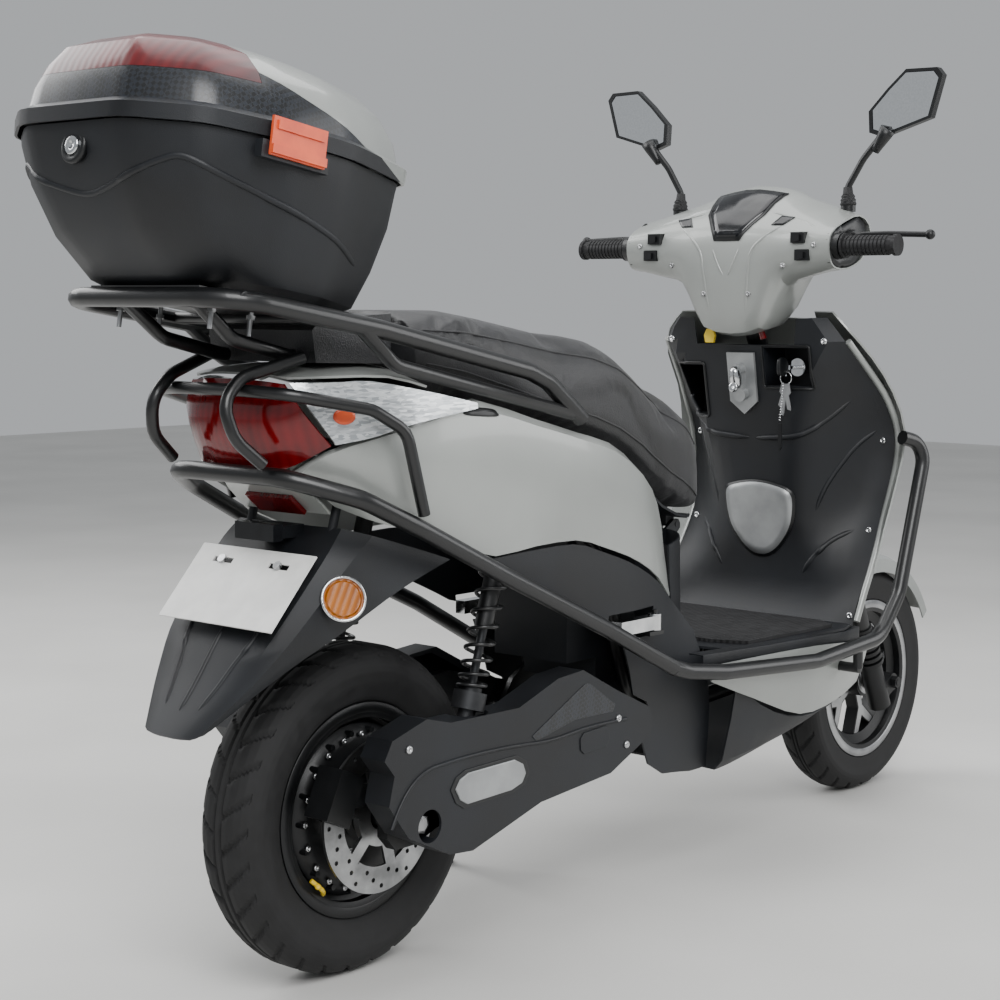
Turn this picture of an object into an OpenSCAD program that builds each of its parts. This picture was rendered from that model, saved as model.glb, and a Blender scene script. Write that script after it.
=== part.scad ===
/* [Overall] */
// Distance between the wheel centres
wheelbase = 1325; // [1250:5:1400]
// Height of the seat crown above the ground
seat_height = 885; // [850:5:930]
// Width over the two side panels
body_width = 340; // [330:2:370]
// Width over the handlebar grips
bar_width = 622; // [600:2:680]
// Angle of the steering axis from the vertical
rake = 25; // [24:0.5:26]

/* [Wheels] */
// Outside diameter of the front tyre
front_tyre_d = 416; // [396:2:430]
// Width of the front tyre
front_tyre_w = 84; // [76:1:90]
// Outside diameter of the rear tyre
rear_tyre_d = 444; // [430:2:456]
// Width of the rear tyre
rear_tyre_w = 98; // [90:1:104]
// Diameter over the flanges of both rims
rim_lip_d = 290; // [284:1:296]
// Diameter of the rear brake disc
disc_d = 210; // [190:2:220]

/* [Luggage] */
// Length of the top case at its rim
case_length = 412; // [360:4:440]
// Width of the top case at its rim
case_width = 416; // [360:4:440]
// Height of the top case with its lid
case_height = 286; // [250:2:320]

/* [Sheet and tube] */
// Wall of the moulded panels
panel_t = 3; // [2.5:0.25:3.5]
// Outside diameter of the rack and crash tubes
tube_d = 24; // [20:1:26]
// Outside diameter of the thin guard tubes
guard_d = 16; // [12:1:18]

/* [Fits] */
// Gap left between parts that are screwed together
gap = 0.4; // [0.3:0.05:0.6]
// Radial clearance of a shaft that turns in a hole
run_fit = 0.05; // [0.02:0.01:0.1]

/* [Hidden] */
$fn = 48;
flat_sides = 6;
kx = wheelbase / 1325;
ky = body_width / 340;
kz = seat_height / 885;
front_r = front_tyre_d / 2;
rear_r = rear_tyre_d / 2;
lip_r = rim_lip_d / 2;
bead_r = lip_r - 17;
disc_r = disc_d / 2;
tube_r = tube_d / 2;
guard_r = guard_d / 2;
bend_r = 2.2 * tube_d;
guard_bend = 2.5 * guard_d;
rim_wall = 4;
case_tilt = 9;
case_mid = [-256 * kx, 0, 905.4 * kz];
rim_h = 0.58 * case_height;
case_rear_x = case_mid[0] - case_length / 2 * cos(case_tilt) + (rim_h + gap) * sin(case_tilt);
front_x = wheelbase + front_r;
mid_x = (front_x + case_rear_x) / 2;

// Steering frame: its origin is on the steering axis at the height of the front axle
axle_lead = 39;
steer_at = [wheelbase - axle_lead, 0, front_r];
axle_u = axle_lead * cos(rake);
axle_w = -axle_lead * sin(rake);
stem_r = 17;
head_low = 388;
head_high = 609;
crown_low = 322;
crown_high = 350;
bar_u = -9;
bar_w = 865;
bar_r = 11;
grip_r = 16;
bar_half = bar_width / 2;
cover_half = 200;
collar_half = 214;
leg_y = 75;
leg_r = 20;
slider_r = 15;
fork_travel = 60;
axle_r = 6;

// Rear suspension
pivot_at = [455 * kx, 0, 275 * kz];
pivot_pin_r = 8;
arm_in = 100;
arm_out = 118;
shock_y = 130;
shock_low = [100, 0, 330];
shock_high = [184, 0, 606];
shock_v = shock_high - shock_low;
shock_len = norm(shock_v);
shock_lean = atan2(shock_v[0], shock_v[2]);
shock_rod_r = 6;
shock_pin_r = 5;
rear_axle_r = 8;

// Positions are written for the nominal sizes and stretched with the overall sizes
function p(v) = [v[0] * kx, v[1] * ky, v[2] * kz];
function ps(list) = [for (v = list) p(v)];
function unit(v) = v / norm(v);
function flip_y(v) = [v[0], -v[1], v[2]];
function reversed(list) = [for (i = [len(list) - 1:-1:0]) list[i]];
function both_sides(list) = concat(list, [for (v = reversed(list)) flip_y(v)]);
function across(list) = concat(list, [for (i = [len(list) - 2:-1:0]) flip_y(list[i])]);

// A smooth curve through a few points, t from 0 to 1
function spline(c, t) =
  let(n = len(c) - 1, s = t * n, i = min(floor(s), n - 1), f = s - i,
      a = c[max(i - 1, 0)], b = c[i], d = c[i + 1], e = c[min(i + 2, n)])
  0.5 * (2 * b + (d - a) * f + (2 * a - 5 * b + 4 * d - e) * f * f
  + (3 * b - a - 3 * d + e) * f * f * f);

// The same for a closed outline
function loop_spline(c, t) =
  let(n = len(c), s = t * n, i = floor(s), f = s - i,
      a = c[(i + n - 1) % n], b = c[i % n], d = c[(i + 1) % n], e = c[(i + 2) % n])
  0.5 * (2 * b + (d - a) * f + (2 * a - 5 * b + 4 * d - e) * f * f
  + (3 * b - a - 3 * d + e) * f * f * f);

// A grid of points over a set of rails
function rail_grid(rails, nu, nv) =
  [for (i = [0:nu]) let(cut = [for (r = rails) spline(r, i / nu)])
    [for (j = [0:nv]) spline(cut, j / nv)]];

function grid_normal(g, i, j) =
  let(r = len(g) - 1, c = len(g[0]) - 1,
      du = g[min(i + 1, r)][j] - g[max(i - 1, 0)][j],
      dv = g[i][min(j + 1, c)] - g[i][max(j - 1, 0)])
  unit(cross(du, dv));

// A solid between two grids of the same size; out is true when the first lies on the normal side
module skin(g, h, out) {
  r = len(g);
  c = len(g[0]);
  n = r * c;
  function quad(a, b, d, e) = out ? [[a, d, b], [b, d, e]] : [[a, b, d], [b, e, d]];
  faces = concat(
    [for (i = [0:r - 2], j = [0:c - 2], f = quad(i * c + j, (i + 1) * c + j,
      i * c + j + 1, (i + 1) * c + j + 1)) f],
    [for (i = [0:r - 2], j = [0:c - 2], f = quad(n + i * c + j, n + i * c + j + 1,
      n + (i + 1) * c + j, n + (i + 1) * c + j + 1)) f],
    [for (i = [0:r - 2], f = quad(i * c, n + i * c, (i + 1) * c, n + (i + 1) * c)) f],
    [for (i = [0:r - 2], f = quad(i * c + c - 1, (i + 1) * c + c - 1,
      n + i * c + c - 1, n + (i + 1) * c + c - 1)) f],
    [for (j = [0:c - 2], f = quad(j, j + 1, n + j, n + j + 1)) f],
    [for (j = [0:c - 2], f = quad((r - 1) * c + j, n + (r - 1) * c + j,
      (r - 1) * c + j + 1, n + (r - 1) * c + j + 1)) f]);
  polyhedron([for (row = concat(g, h), v = row) v], faces);
}

// A moulded sheet: the grid is one face, its wall grows against the grid normal by t
module sheet(g, t) {
  inside = [for (i = [0:len(g) - 1]) [for (j = [0:len(g[0]) - 1])
    g[i][j] - t * grid_normal(g, i, j)]];
  skin(g, inside, t > 0);
}

// A solid through a list of rings, each the same number of points, closed at both ends
module loft(rings) {
  m = len(rings[0]);
  k = len(rings);
  points = concat([for (ring = rings, v = ring) v], [middle(rings[0]), middle(rings[k - 1])]);
  faces = concat(
    [for (i = [0:k - 2], j = [0:m - 1]) [i * m + j, (i + 1) * m + j, i * m + (j + 1) % m]],
    [for (i = [0:k - 2], j = [0:m - 1])
      [i * m + (j + 1) % m, (i + 1) * m + j, (i + 1) * m + (j + 1) % m]],
    [for (j = [0:m - 1]) [k * m, j, (j + 1) % m]],
    [for (j = [0:m - 1]) [k * m + 1, (k - 1) * m + (j + 1) % m, (k - 1) * m + j]]);
  polyhedron(points, faces);
}

// A hollow shell through rings, open at both ends: rings run out, then back inside
module ring_shell(rings) {
  m = len(rings[0]);
  k = len(rings);
  points = [for (ring = rings, v = ring) v];
  faces = concat(
    [for (i = [0:k - 1], j = [0:m - 1])
      [i * m + j, ((i + 1) % k) * m + j, i * m + (j + 1) % m]],
    [for (i = [0:k - 1], j = [0:m - 1])
      [i * m + (j + 1) % m, ((i + 1) % k) * m + j, ((i + 1) % k) * m + (j + 1) % m]]);
  polyhedron(points, faces);
}

function middle(ring) =
  let(n = len(ring)) [for (k = [0:2]) [for (v = ring) v[k]] * [for (v = ring) 1 / n]];
function shrink(ring, t) =
  let(c = middle(ring)) [for (v = ring) v + t * unit(c - v)];

// A round bar from a to b
module bar(a, b, r) {
  v = b - a;
  translate(a)
    rotate([0, acos(v[2] / norm(v)), atan2(v[1], v[0])])
      cylinder(h = norm(v), r = r);
}

// A bent tube: a ring of flats carried along a path whose corners are rounded
function turn(c, i) =
  acos(max(-1, min(1, unit(c[i] - c[i - 1]) * unit(c[i + 1] - c[i]))));
function fit_bend(c, i, bend) =
  let(near = min(norm(c[i] - c[i - 1]), norm(c[i + 1] - c[i])))
  min(bend, 0.48 * near / max(tan(turn(c, i) / 2), 0.001));
function arc(c, i, bend) =
  let(a = unit(c[i] - c[i - 1]), b = unit(c[i + 1] - c[i]), w = turn(c, i),
      q = fit_bend(c, i, bend), cut = q * tan(w / 2), steps = max(1, ceil(w / 14)),
      centre = c[i] - unit(a - b) * q / cos(w / 2), start = c[i] - cut * a - centre)
  w < 1 ? [c[i]] : [for (k = [0:steps]) centre + start * cos(w * k / steps)
    + q * a * sin(w * k / steps)];
function path(c, bend) =
  concat([c[0]], [for (i = [1:len(c) - 2]) each arc(c, i, bend)], [c[len(c) - 1]]);
function carried(q, i, side) =
  i == len(q) ? [] :
  let(t = unit(q[min(i + 1, len(q) - 1)] - q[max(i - 1, 0)]), n = unit(side - (side * t) * t))
  concat([[n, cross(t, n)]], carried(q, i + 1, n));
module tube(points, r, bend, sides = 10) {
  q = len(points) > 2 ? path(points, bend) : points;
  first = unit(q[1] - q[0]);
  frames = carried(q, 0, abs(first[2]) < 0.9 ? [0, 0, 1] : [1, 0, 0]);
  grow = r / cos(90 / sides);
  loft([for (i = [0:len(q) - 1])
    [for (k = [0:sides - 1]) q[i] + grow * (frames[i][0] * cos(360 * k / sides)
      + frames[i][1] * sin(360 * k / sides))]]);
}

// A plate whose outline is drawn from the side, from y0 to y1
module side_plate(outline, y0, y1) {
  translate([0, y1, 0])
    rotate([90, 0, 0])
      linear_extrude(y1 - y0)
        polygon(outline);
}

module disc_y(at, r, y0, y1) {
  translate([at[0], y1, at[2]])
    rotate([90, 0, 0])
      cylinder(h = y1 - y0, r = r);
}

module spun_y(at, outline) {
  translate(at)
    rotate([90, 0, 0])
      rotate_extrude()
        polygon(outline);
}

module placed() {
  translate([-mid_x, 0, 0])
    children();
}

module pair() {
  children();
  mirror([0, 1, 0])
    children();
}

module steered() {
  placed()
    translate(steer_at)
      rotate([0, -rake, 0])
        children();
}

// ---- frame ----
rail_y = 92;
rail_r = 13;
module frame() {
  color([0.05, 0.05, 0.055]) {
    steered()
      difference() {
        union() {
          translate([0, 0, head_low])
            cylinder(h = head_high - head_low, r = 26);
          translate([0, 0, head_low])
            cylinder(h = 16, r = 30);
          translate([0, 0, head_high - 16])
            cylinder(h = 16, r = 30);
        }
        translate([0, 0, head_low - 5])
          cylinder(h = head_high - head_low + 10, r = stem_r + run_fit);
      }
    placed()
      difference() {
        union() {
          tube(ps([[1092, 0, 600], [1058, 0, 520], [1052, 0, 430], [1044, 0, 330], [975, 0, 290]]), 19, 60);
          bar(p([975, -rail_y, 290]), p([975, rail_y, 290]), 15);
          tube(ps([[975, rail_y, 290], [640, rail_y, 270], [520, rail_y, 300], [440, rail_y, 520],
            [330, rail_y, 620], [-130, rail_y - 10, 720]]), 13, 60);
          tube(ps([[975, -rail_y, 290], [640, -rail_y, 270], [520, -rail_y, 300],
            [440, -rail_y, 520], [330, -rail_y, 620], [-130, 10 - rail_y, 720]]), 13, 60);
          bar(p([640, -rail_y, 270]), p([640, rail_y, 270]), 11);
          bar(p([330, -rail_y, 620]), p([330, rail_y, 620]), 10);
          bar(p([-130, 10 - rail_y, 720]), p([-130, rail_y - 10, 720]), 11);
          pair()
            shock_tab();
          pair()
            side_plate([[436, 240], [480, 232], [545, 290], [500, 350], [450, 320], [425, 285]],
              rail_y - 12, rail_y - 4);
        }
        translate(steer_at)
          rotate([0, -rake, 0])
            translate([0, 0, head_low - 5])
              cylinder(h = head_high - head_low + 10, r = stem_r + 2);
        disc_y(pivot_at, pivot_pin_r - 1, -body_width, body_width);
        translate(steer_at)
          rotate([0, -rake, 0])
            translate([0, 0, head_high])
              cylinder(h = 60, r = 40);
      }
    placed() {
      disc_y(pivot_at, pivot_pin_r, 2 - rail_y, rail_y - 2);
      for (x = [700, 900], s = [-1, 1])
        translate([x * kx, s * rail_y * ky, 275 * kz])
          cylinder(h = 89 * kz - gap, r = 8);
      stand_lug();
      pair()
        peg_bracket();
    }
  }
}

module peg_bracket() {
  translate([peg_at[0] * kx - 22, rail_y + 4, peg_at[2] * kz + 1])
    cube([34, peg_at[1] * ky + 8 - rail_y - 4, 6]);
  translate(p(peg_at) + [0, 0, 2])
    cylinder(h = 36, r = peg_pin_r);
}
peg_pin_r = 4;

module stand_lug() {
  side_plate([[stand_at[0] - 12, stand_at[2] - 10], [stand_at[0] + 14, stand_at[2] - 12],
    [stand_at[0] + 108, 288 * kz], [stand_at[0] + 82, 302 * kz]], rail_y - 8, rail_y + 4);
  disc_y(stand_at, stand_pin_r, rail_y - 6, stand_at[1] + 10);
}

// Ear that carries the top of a damper
module shock_tab() {
  side_plate([for (v = [[-30, 40], [30, 40], [26, -14], [-14, -14]])
    [shock_high[0] + v[0], shock_high[2] + v[1]]], rail_y + 5, shock_y - 16);
  translate([shock_high[0] - 30, rail_y - 8, shock_high[2] + 26])
    cube([60, 18, 50]);
  disc_y(shock_high, shock_pin_r, rail_y + 6, shock_y + 11);
}

module battery_box() {
  color([0.06, 0.06, 0.065])
    placed()
      translate([395 * kx, -70 * ky, 330 * kz])
        difference() {
          union() {
            cube([165, 140, 270]);
            translate([60, rail_r - rail_y * ky + 70 * ky + gap, 110])
              cube([30, 2 * (rail_y * ky - rail_r - gap), 16]);
          }
          translate([-1, -1, -1])
            cube([70, 142, 40]);
        }
}

module floor_panel() {
  color([0.05, 0.05, 0.055])
    placed()
      translate([0, 0, 364 * kz])
        linear_extrude(4)
          polygon([for (v = across_plan([[604, 0], [604, 118], [652, 122], [664, 196],
            [950, 208], [990.2, 196]])) v]);
}
function across_plan(list) = concat([for (v = list) [v[0] * kx, v[1] * ky]],
  [for (i = [len(list) - 1:-1:1]) [list[i][0] * kx, -list[i][1] * ky]]);

module floor_mat() {
  color([0.08, 0.08, 0.085])
    placed()
      translate([0, 0, 364 * kz + 4 + gap / 2])
        linear_extrude(5)
          polygon([for (v = across_plan([[690, 0], [690, 122], [715, 176], [940, 190],
            [968, 150]])) v]);
}

module floor_fairings() {
  color([0.62, 0.63, 0.62])
    placed()
      pair()
        difference() {
          sheet(rail_grid([
            ps([[590, 204, 356], [700, 210, 356], [850, 214, 352], [960, 214, 344], [1030, 206, 338]]),
            ps([[585, 202, 346], [700, 212, 320], [850, 214, 300], [960, 210, 296], [1026, 204, 310]]),
            ps([[586, 196, 330], [700, 196, 288], [850, 188, 238], [960, 188, 244], [1016, 194, 268]])
            ], 12, 5), panel_t);
          disc_y(bar_foot, bar_foot_r + gap, 0, body_width);
        }
}

module belly_pan() {
  color([0.05, 0.05, 0.055])
    placed()
      sheet(rail_grid([for (s = [1, 0.92, 0.7, 0, -0.7, -0.92, -1]) let(q = abs(s))
        ps([for (v = [[670, 322, 176], [720, 280, 177], [820, 240, 188], [920, 236, 204],
          [1000, 258, 246]])
          [v[0], s * (q > 0.95 ? 184.4 : 172), q > 0.95 ? v[1] : (q > 0.8 ? v[2] + 14 : v[2])]])],
        10, 12), -panel_t);
}

// ---- leg shield, cowl ----
shield_at = [
  // centre x, edge x, half width, flat half width, z
  [984, 990, 196, 150, 350], [1020, 1012, 196, 130, 400], [1022, 1052, 196, 80, 460],
  [1014, 1090, 190, 50, 530], [1002, 1106, 199, 55, 600], [988, 1112, 207, 76, 667],
  [978, 1084, 205, 96, 725], [966, 1036, 190, 124, 785], [958, 985, 176, 148, 835],
  [956, 976, 146, 130, 872]];
function shield_row(t) = spline(shield_at, t);
function shield_point(s, row) =
  let(y = s * row[2], q = max(0, (abs(y) - row[3]) / (row[2] - row[3])),
      f = q * q * (3 - 2 * q))
  p([row[0] + (row[1] - row[0]) * f, y, row[4]]);

pocket_at = [86, 702];
pocket_size = [76, 92];
pocket_back = 1072;
recess_at = [-126, 756];
recess_size = [92, 70];
recess_back = 1026;
shield_grid = [for (i = [0:18]) let(row = shield_row(i / 18))
  [for (j = [-9:9]) shield_point(j / 9, row)]];

// The wall of a pocket that opens through the shield
module pocket(at, size, back) {
  intersection() {
    skin([for (row = shield_grid) [for (v = row) v - [panel_t / 2, 0, 0]]],
      [for (row = shield_grid) [for (v = row) [1160 * kx, v[1], v[2]]]], true);
    translate([800 * kx, at[0] * ky, at[1] * kz])
      cube([(back - 800) * kx, size[0], size[1]]);
  }
}
module pocket_room(at, size, back) {
  translate([800 * kx, at[0] * ky + panel_t, at[1] * kz + panel_t])
    cube([(back - 800) * kx - panel_t, size[0] - 2 * panel_t, size[1] - 2 * panel_t]);
}

module leg_shield() {
  color([0.045, 0.045, 0.05])
    placed()
      difference() {
        union() {
          sheet(shield_grid, -panel_t);
          pocket(pocket_at, pocket_size, pocket_back);
          pocket(recess_at, recess_size, recess_back);
        }
        pocket_room(pocket_at, pocket_size, pocket_back);
        pocket_room(recess_at, recess_size, recess_back);
        disc_x(p([900, -80, 790]), lock_r + run_fit, 200);
        neck_room();
      }
}
lock_r = 12;
module disc_x(at, r, h) {
  translate(at)
    rotate([0, 90, 0])
      cylinder(h = h, r = r);
}

module hook_plate() {
  color([0.75, 0.75, 0.74])
    placed()
      translate(p([966.2, 8, 765]))
        rotate([0, -100, 0])
          union() {
            linear_extrude(5)
              polygon([[50, -27], [50, 27], [-34, 27], [-56, 0], [-34, -27]]);
            translate([22, 0, 4])
              cylinder(h = 16, r = 10);
            translate([-22, -8, 4])
              cube([46, 16, 12]);
            translate([-20, 0, 4])
              cylinder(h = 13, r = 12);
          }
}

module ignition_lock() {
  color([0.7, 0.7, 0.72])
    placed()
      difference() {
        union() {
          disc_x(p([997, -80, 790]), lock_r, 46);
          disc_x(p([1000, -80, 790]) - [5, 0, 0], 15, 5);
          disc_x(p([1000, -80, 790]) - [30, 0, 0], 3, 28);
          translate(p([1000, -80, 790]) - [40, 1.5, 14])
            cube([14, 3, 28]);
        }
        translate(p([1000, -80, 790]) - [36, 5, 4])
          cube([6, 10, 8]);
      }
}

cowl_at = [
  // nose x, edge x, half width, edge z, nose z
  [1192, 1034, 212, 452, 590], [1206, 1054, 216, 520, 612], [1214, 1080, 223, 600, 645],
  [1202, 1098, 227, 680, 695], [1166, 1070, 218, 750, 755], [1120, 1022, 206, 806, 808],
  [1074, 990, 180, 851, 851], [1044, 986, 150, 882, 882]];
function cowl_point(s, row) =
  p([row[0] - (row[0] - row[1]) * pow(abs(s), 2.6), s * row[2], row[4] + (row[3] - row[4]) * s * s]);
lamp_at = [1128, 0, 668];
lamp_r = 58;

module front_cowl() {
  color([0.62, 0.63, 0.62])
    placed()
      difference() {
        sheet([for (i = [0:14]) let(row = spline(cowl_at, i / 14))
          [for (j = [-10:10]) cowl_point(j / 10, row)]], panel_t);
        disc_x(p(lamp_at), lamp_r + gap, 200);
        neck_room();
      }
}

// Room for the neck of the handlebar cover to turn
module neck_room() {
  translate(steer_at)
    rotate([0, -rake, 0])
      translate([0, 0, 700])
        cylinder(h = 200, r = 104);
}

module headlamp() {
  color([0.9, 0.93, 0.95])
    placed()
      intersection() {
        disc_x(p(lamp_at), lamp_r, 200);
        translate(p(lamp_at) - [68, 0, 0])
          sphere(r = 150);
      }
}

// ---- side panels ----
module panel_sheet() {
  sheet(rail_grid([
    ps([[-152, 70, 690], [-126, 108, 714], [-45, 134, 735], [84, 141, 772], [209, 143, 744],
      [315, 141, 718], [404, 135, 696], [500, 118, 640], [562, 100, 560], [594, 90, 470]]),
    ps([[-160, 88, 684], [-134, 122, 712], [-48, 150, 734], [80, 166, 758], [205, 168, 732],
      [315, 165, 706], [404, 158, 682], [492, 144, 634], [547, 127, 572], [583, 114, 464]]),
    ps([[-132, 92, 662], [-104, 126, 672], [-30, 156, 680], [90, 170, 680], [205, 170, 664],
      [315, 168, 642], [404, 161, 612], [480, 151, 576], [532, 137, 530], [580, 121, 459]]),
    ps([[-94, 84, 640], [-62, 118, 622], [-6, 144, 604], [113, 161, 564], [205, 164, 568],
      [300, 164, 568], [376, 157, 549], [453, 150, 525], [522, 139, 493], [575, 124, 454]])
  ], 20, 6), panel_t);
}

module side_panel_left() {
  color([0.62, 0.63, 0.62])
    placed()
      panel_sheet();
}

module side_panel_right() {
  color([0.62, 0.63, 0.62])
    placed()
      mirror([0, 1, 0])
        panel_sheet();
}

peg_at = [500, 152, 408];
module skirts() {
  color([0.05, 0.05, 0.055])
    placed()
      pair()
        difference() {
          sheet(rail_grid([
            ps([[118, 157, 558], [205, 160, 562], [300, 160, 562], [374, 154, 543],
              [450, 147, 519], [524, 136, 486], [584, 123, 446], [634, 128, 396]]),
            ps([[119, 157, 555], [205, 160, 541], [300, 160, 520], [374, 155, 495],
              [444, 150, 466], [525, 142, 366], [604, 140, 320], [664, 138, 300]]),
            ps([[120, 157, 552], [205, 158, 520], [300, 155, 480], [372, 150, 446],
              [432, 146, 408], [500, 140, 216], [600, 137, 181], [664, 134, 178]])
          ], 18, 8), panel_t);
          translate(p([392, 120, 407]))
            cube([120 * kx, 60, 42]);
          side_plate(scaled_outline(cover_outline, 1.07), arm_out - 10, 170 * ky);
        }
}

module front_panel() {
  color([0.045, 0.045, 0.05])
    placed()
      union() {
        sheet(rail_grid([
          ps(across([[590, 112, 530], [640, 96, 536], [682, 56, 540], [696, 0, 541]])),
          ps(across([[594, 112, 460], [640, 98, 460], [676, 58, 460], [686, 0, 460]])),
          ps(across([[606, 114, 368.3], [642, 100, 368.3], [668, 60, 368.3], [676, 0, 368.3]]))],
          16, 5), panel_t);
        pair()
          difference() {
            side_plate([for (v = [[-44, -26], [-20, -32], [9, -6], [9, 1], [4, 8], [-8, 8], [-44, -14]])
              [seat_hinge[0] + v[0], seat_hinge[2] + v[1]]], seat_ear, seat_ear + 5);
            disc_y(seat_hinge, seat_pin_r + run_fit, 0, body_width);
          }
      }
}

// ---- tail ----
module tail_cover() {
  color([0.62, 0.63, 0.62])
    placed() {
      sheet(rail_grid([
        ps(across([[-172, 84, 802], [-182, 44, 806], [-186, 0, 807]])),
        ps(across([[-130, 124, 804], [-134, 64, 813], [-135, 0, 814]])),
        ps(across([[-60, 146, 803], [-60, 74, 815], [-60, 0, 816]])),
        ps(across([[1.2, 154, 789], [1.2, 74, 811], [1.2, 0, 815]]))], 12, 6), -panel_t);
      sheet(rail_grid([
        ps(across([[-150, 62, 676], [-158, 30, 676], [-160, 0, 676]])),
        ps(across([[-126, 78, 659], [-128, 36, 659], [-128, 0, 659]])),
        ps(across([[-96, 80, 632], [-96, 40, 632], [-96, 0, 632]]))], 8, 4), panel_t);
      pair()
        bar(p([-130, 50, 663]), p([-130, 50, 709]) - [0, 0, gap], 6);
    }
}

module tail_lens() {
  color([0.6, 0.02, 0.02])
    placed() {
      sheet(rail_grid([
        ps(across([[-176, 83, 797], [-185, 46, 799], [-188, 0, 800]])),
        ps(across([[-166, 106, 762], [-196, 60, 750], [-202, 0, 748]])),
        ps(across([[-137, 123, 722], [-168, 70, 692], [-176, 0, 686]]))], 16, 8), 5);
      translate(p([-112, 0, 645.5]) - [0, 42, 0])
        rotate([0, 40, 0])
          translate([-17, 0, -6 - panel_t - gap])
            cube([34, 84, 6]);
      pair()
        bar(p([-195, 40, 739]), p([-141.5, 40, 722]), 5);
    }
}

module clear_lenses() {
  color([0.9, 0.9, 0.9])
    placed() {
      pair()
        sheet(rail_grid([
          ps([[-172, 86.5, 797], [-130, 123, 799], [-88, 141, 799], [0, 156, 783], [82, 165, 766]]),
          ps([[-158, 110, 762], [-112, 134, 764], [-70, 149, 768], [10, 160, 770], [82, 165.5, 764]]),
          ps([[-133, 126, 722], [-88, 145, 730], [-42, 156, 742], [22, 162, 752], [82, 166, 760]])
        ], 10, 4), -5);
      translate(p([-132, 0, 596]) - [22, 36, 0])
        cube([17 - gap, 72, 22]);
    }
}

module mudguard() {
  color([0.06, 0.065, 0.075])
    placed()
      union() {
        sheet(rail_grid([
          ps(across([[62, 138, 562], [10, 128, 580], [-82, 108, 608], [-90, 50, 610], [-92, 0, 610]])),
          ps(across([[-30, 134, 531], [-70, 126, 548], [-122, 114, 572], [-128, 54, 574],
            [-129, 0, 574]])),
          ps(across([[-118, 122, 488], [-150, 118, 496], [-198, 104, 488], [-204, 50, 488],
            [-205, 0, 488]])),
          ps(across([[-190, 96, 446], [-214, 94, 444], [-244, 80, 428], [-250, 40, 426],
            [-251, 0, 426]])),
          ps(across([[-276, 52, 380], [-284, 50, 376], [-294, 44, 368], [-300, 22, 366],
            [-301, 0, 366]]))], 14, 16), panel_t);
        translate(p([-132, 0, 596]) - [5, 30, -2])
          cube([42, 60, 16]);
        on_plate()
          translate([-30, -50, -19])
            cube([60, 100, 19 - gap]);
        pair()
          bar(p([-91, 76, 606]), p([-66, 76, 692.6]), 6);
      }
}

plate_w = 210;
plate_h = 116;
plate_tilt = -47.8;
module on_plate() {
  translate(p([-183, 0, 539]))
    rotate([0, plate_tilt, 0])
      children();
}

module number_plate() {
  color([0.9, 0.9, 0.9])
    placed()
      on_plate()
        difference() {
          translate([-plate_h / 2, -plate_w / 2, 0])
            cube([plate_h, plate_w, 2]);
          for (s = [-1, 1])
            translate([plate_h / 2 - 26, s * 52 - 18, -1])
              cube([8, 36, 4]);
        }
}

reflector_r = 27;
module reflectors() {
  color([0.9, 0.45, 0.02])
    placed()
      pair()
        translate(p([-128, 132, 530]))
          rotate([-55, -62, 0])
            translate([0, 0, 1.4])
              union() {
                cylinder(h = 5, r = reflector_r);
                translate([0, 0, 5 - 1])
                  cylinder(h = 4, r1 = reflector_r - 3, r2 = reflector_r - 6);
                translate([0, 0, -6.5])
                  cylinder(h = 7, r = 6);
              }
}

module tail_bolster() {
  color([0.03, 0.03, 0.032])
    placed()
      side_plate([for (v = [[-136, 822], [-142, 862], [-128, 876.2], [-3, 882.2], [-3, 818.4]])
        [v[0] * kx, v[1] * kz]], -96, 96);
}

// ---- rack and guards ----
case_bolts = [[-34, 84], [28, 84], [-34, -84], [28, -84]];
module rack() {
  color([0.03, 0.03, 0.032]) {
    placed()
      union() {
        tube(ps(both_sides([[313, 158, 737], [238, 160, 790], [196, 160, 806], [-90, 160, 864],
          [-300, 158, 898], [-332, 120, 902]])), tube_r, bend_r);
        pair()
          tube(ps([[313, 158, 742], [292, 158, 745], [-62, 160, 819], [-122, 160, 866]]), 9, 40);
        pair()
          tube(ps([[-304, 66, 900], [-244, 64, 852], [-150, 62, 830], [-142.5, 62, 830]]), 9,
            40);
      }
    on_case()
      difference() {
        union() {
          for (x = [-48, 112])
            bar([x, -157 * ky, -gap - 12], [x, 157 * ky, -gap - 12], 8);
          translate([-70, -100, -gap - 8])
            cube([200, 200, 8]);
        }
        for (b = case_bolts)
          translate([b[0], b[1], -30])
            cylinder(h = 40, r = bolt_r + gap);
      }
  }
}
bolt_r = 3;

module crash_bar() {
  color([0.03, 0.03, 0.032])
    placed()
      union() {
        tube(ps(both_sides([[488, 196, 366], [343, 184, 440], [126, 180, 538], [-29, 176, 612],
          [-120, 160, 656], [-196, 100, 684]])), tube_r, bend_r);
        pair()
          tube(ps([[488, 196, 366], [520, 200, 356], [591, 216, 347], [813, 240, 336],
            [985, 252, 352], [1040, 256, 420], [1112, 256, 640], [1100, 250, 668],
            [1068, 240, 676]]), tube_r, bend_r);
        pair() {
          disc_y(bar_foot, bar_foot_r, 84, 250 * ky);
          translate([bar_foot[0], 246 * ky, bar_foot[2]])
            cylinder(h = 40, r = bar_foot_r);
        }
      }
}
bar_foot_r = 8;
bar_foot = [930 * kx, 0, 300.6 * kz + bar_foot_r + gap];

module guard_bars() {
  color([0.03, 0.03, 0.032])
    placed()
      union() {
        tube(ps(both_sides([[-28, 178, 631], [-62, 180, 738], [-110, 168, 766], [-205, 120, 786],
          [-226, 60, 790]])), guard_r, guard_bend);
        pair()
          tube(ps([[-150, 88, 829], [-232, 66, 806], [-262, 66, 776], [-252, 76, 732],
            [-214, 84, 700]]), guard_r, guard_bend);
      }
}

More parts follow.
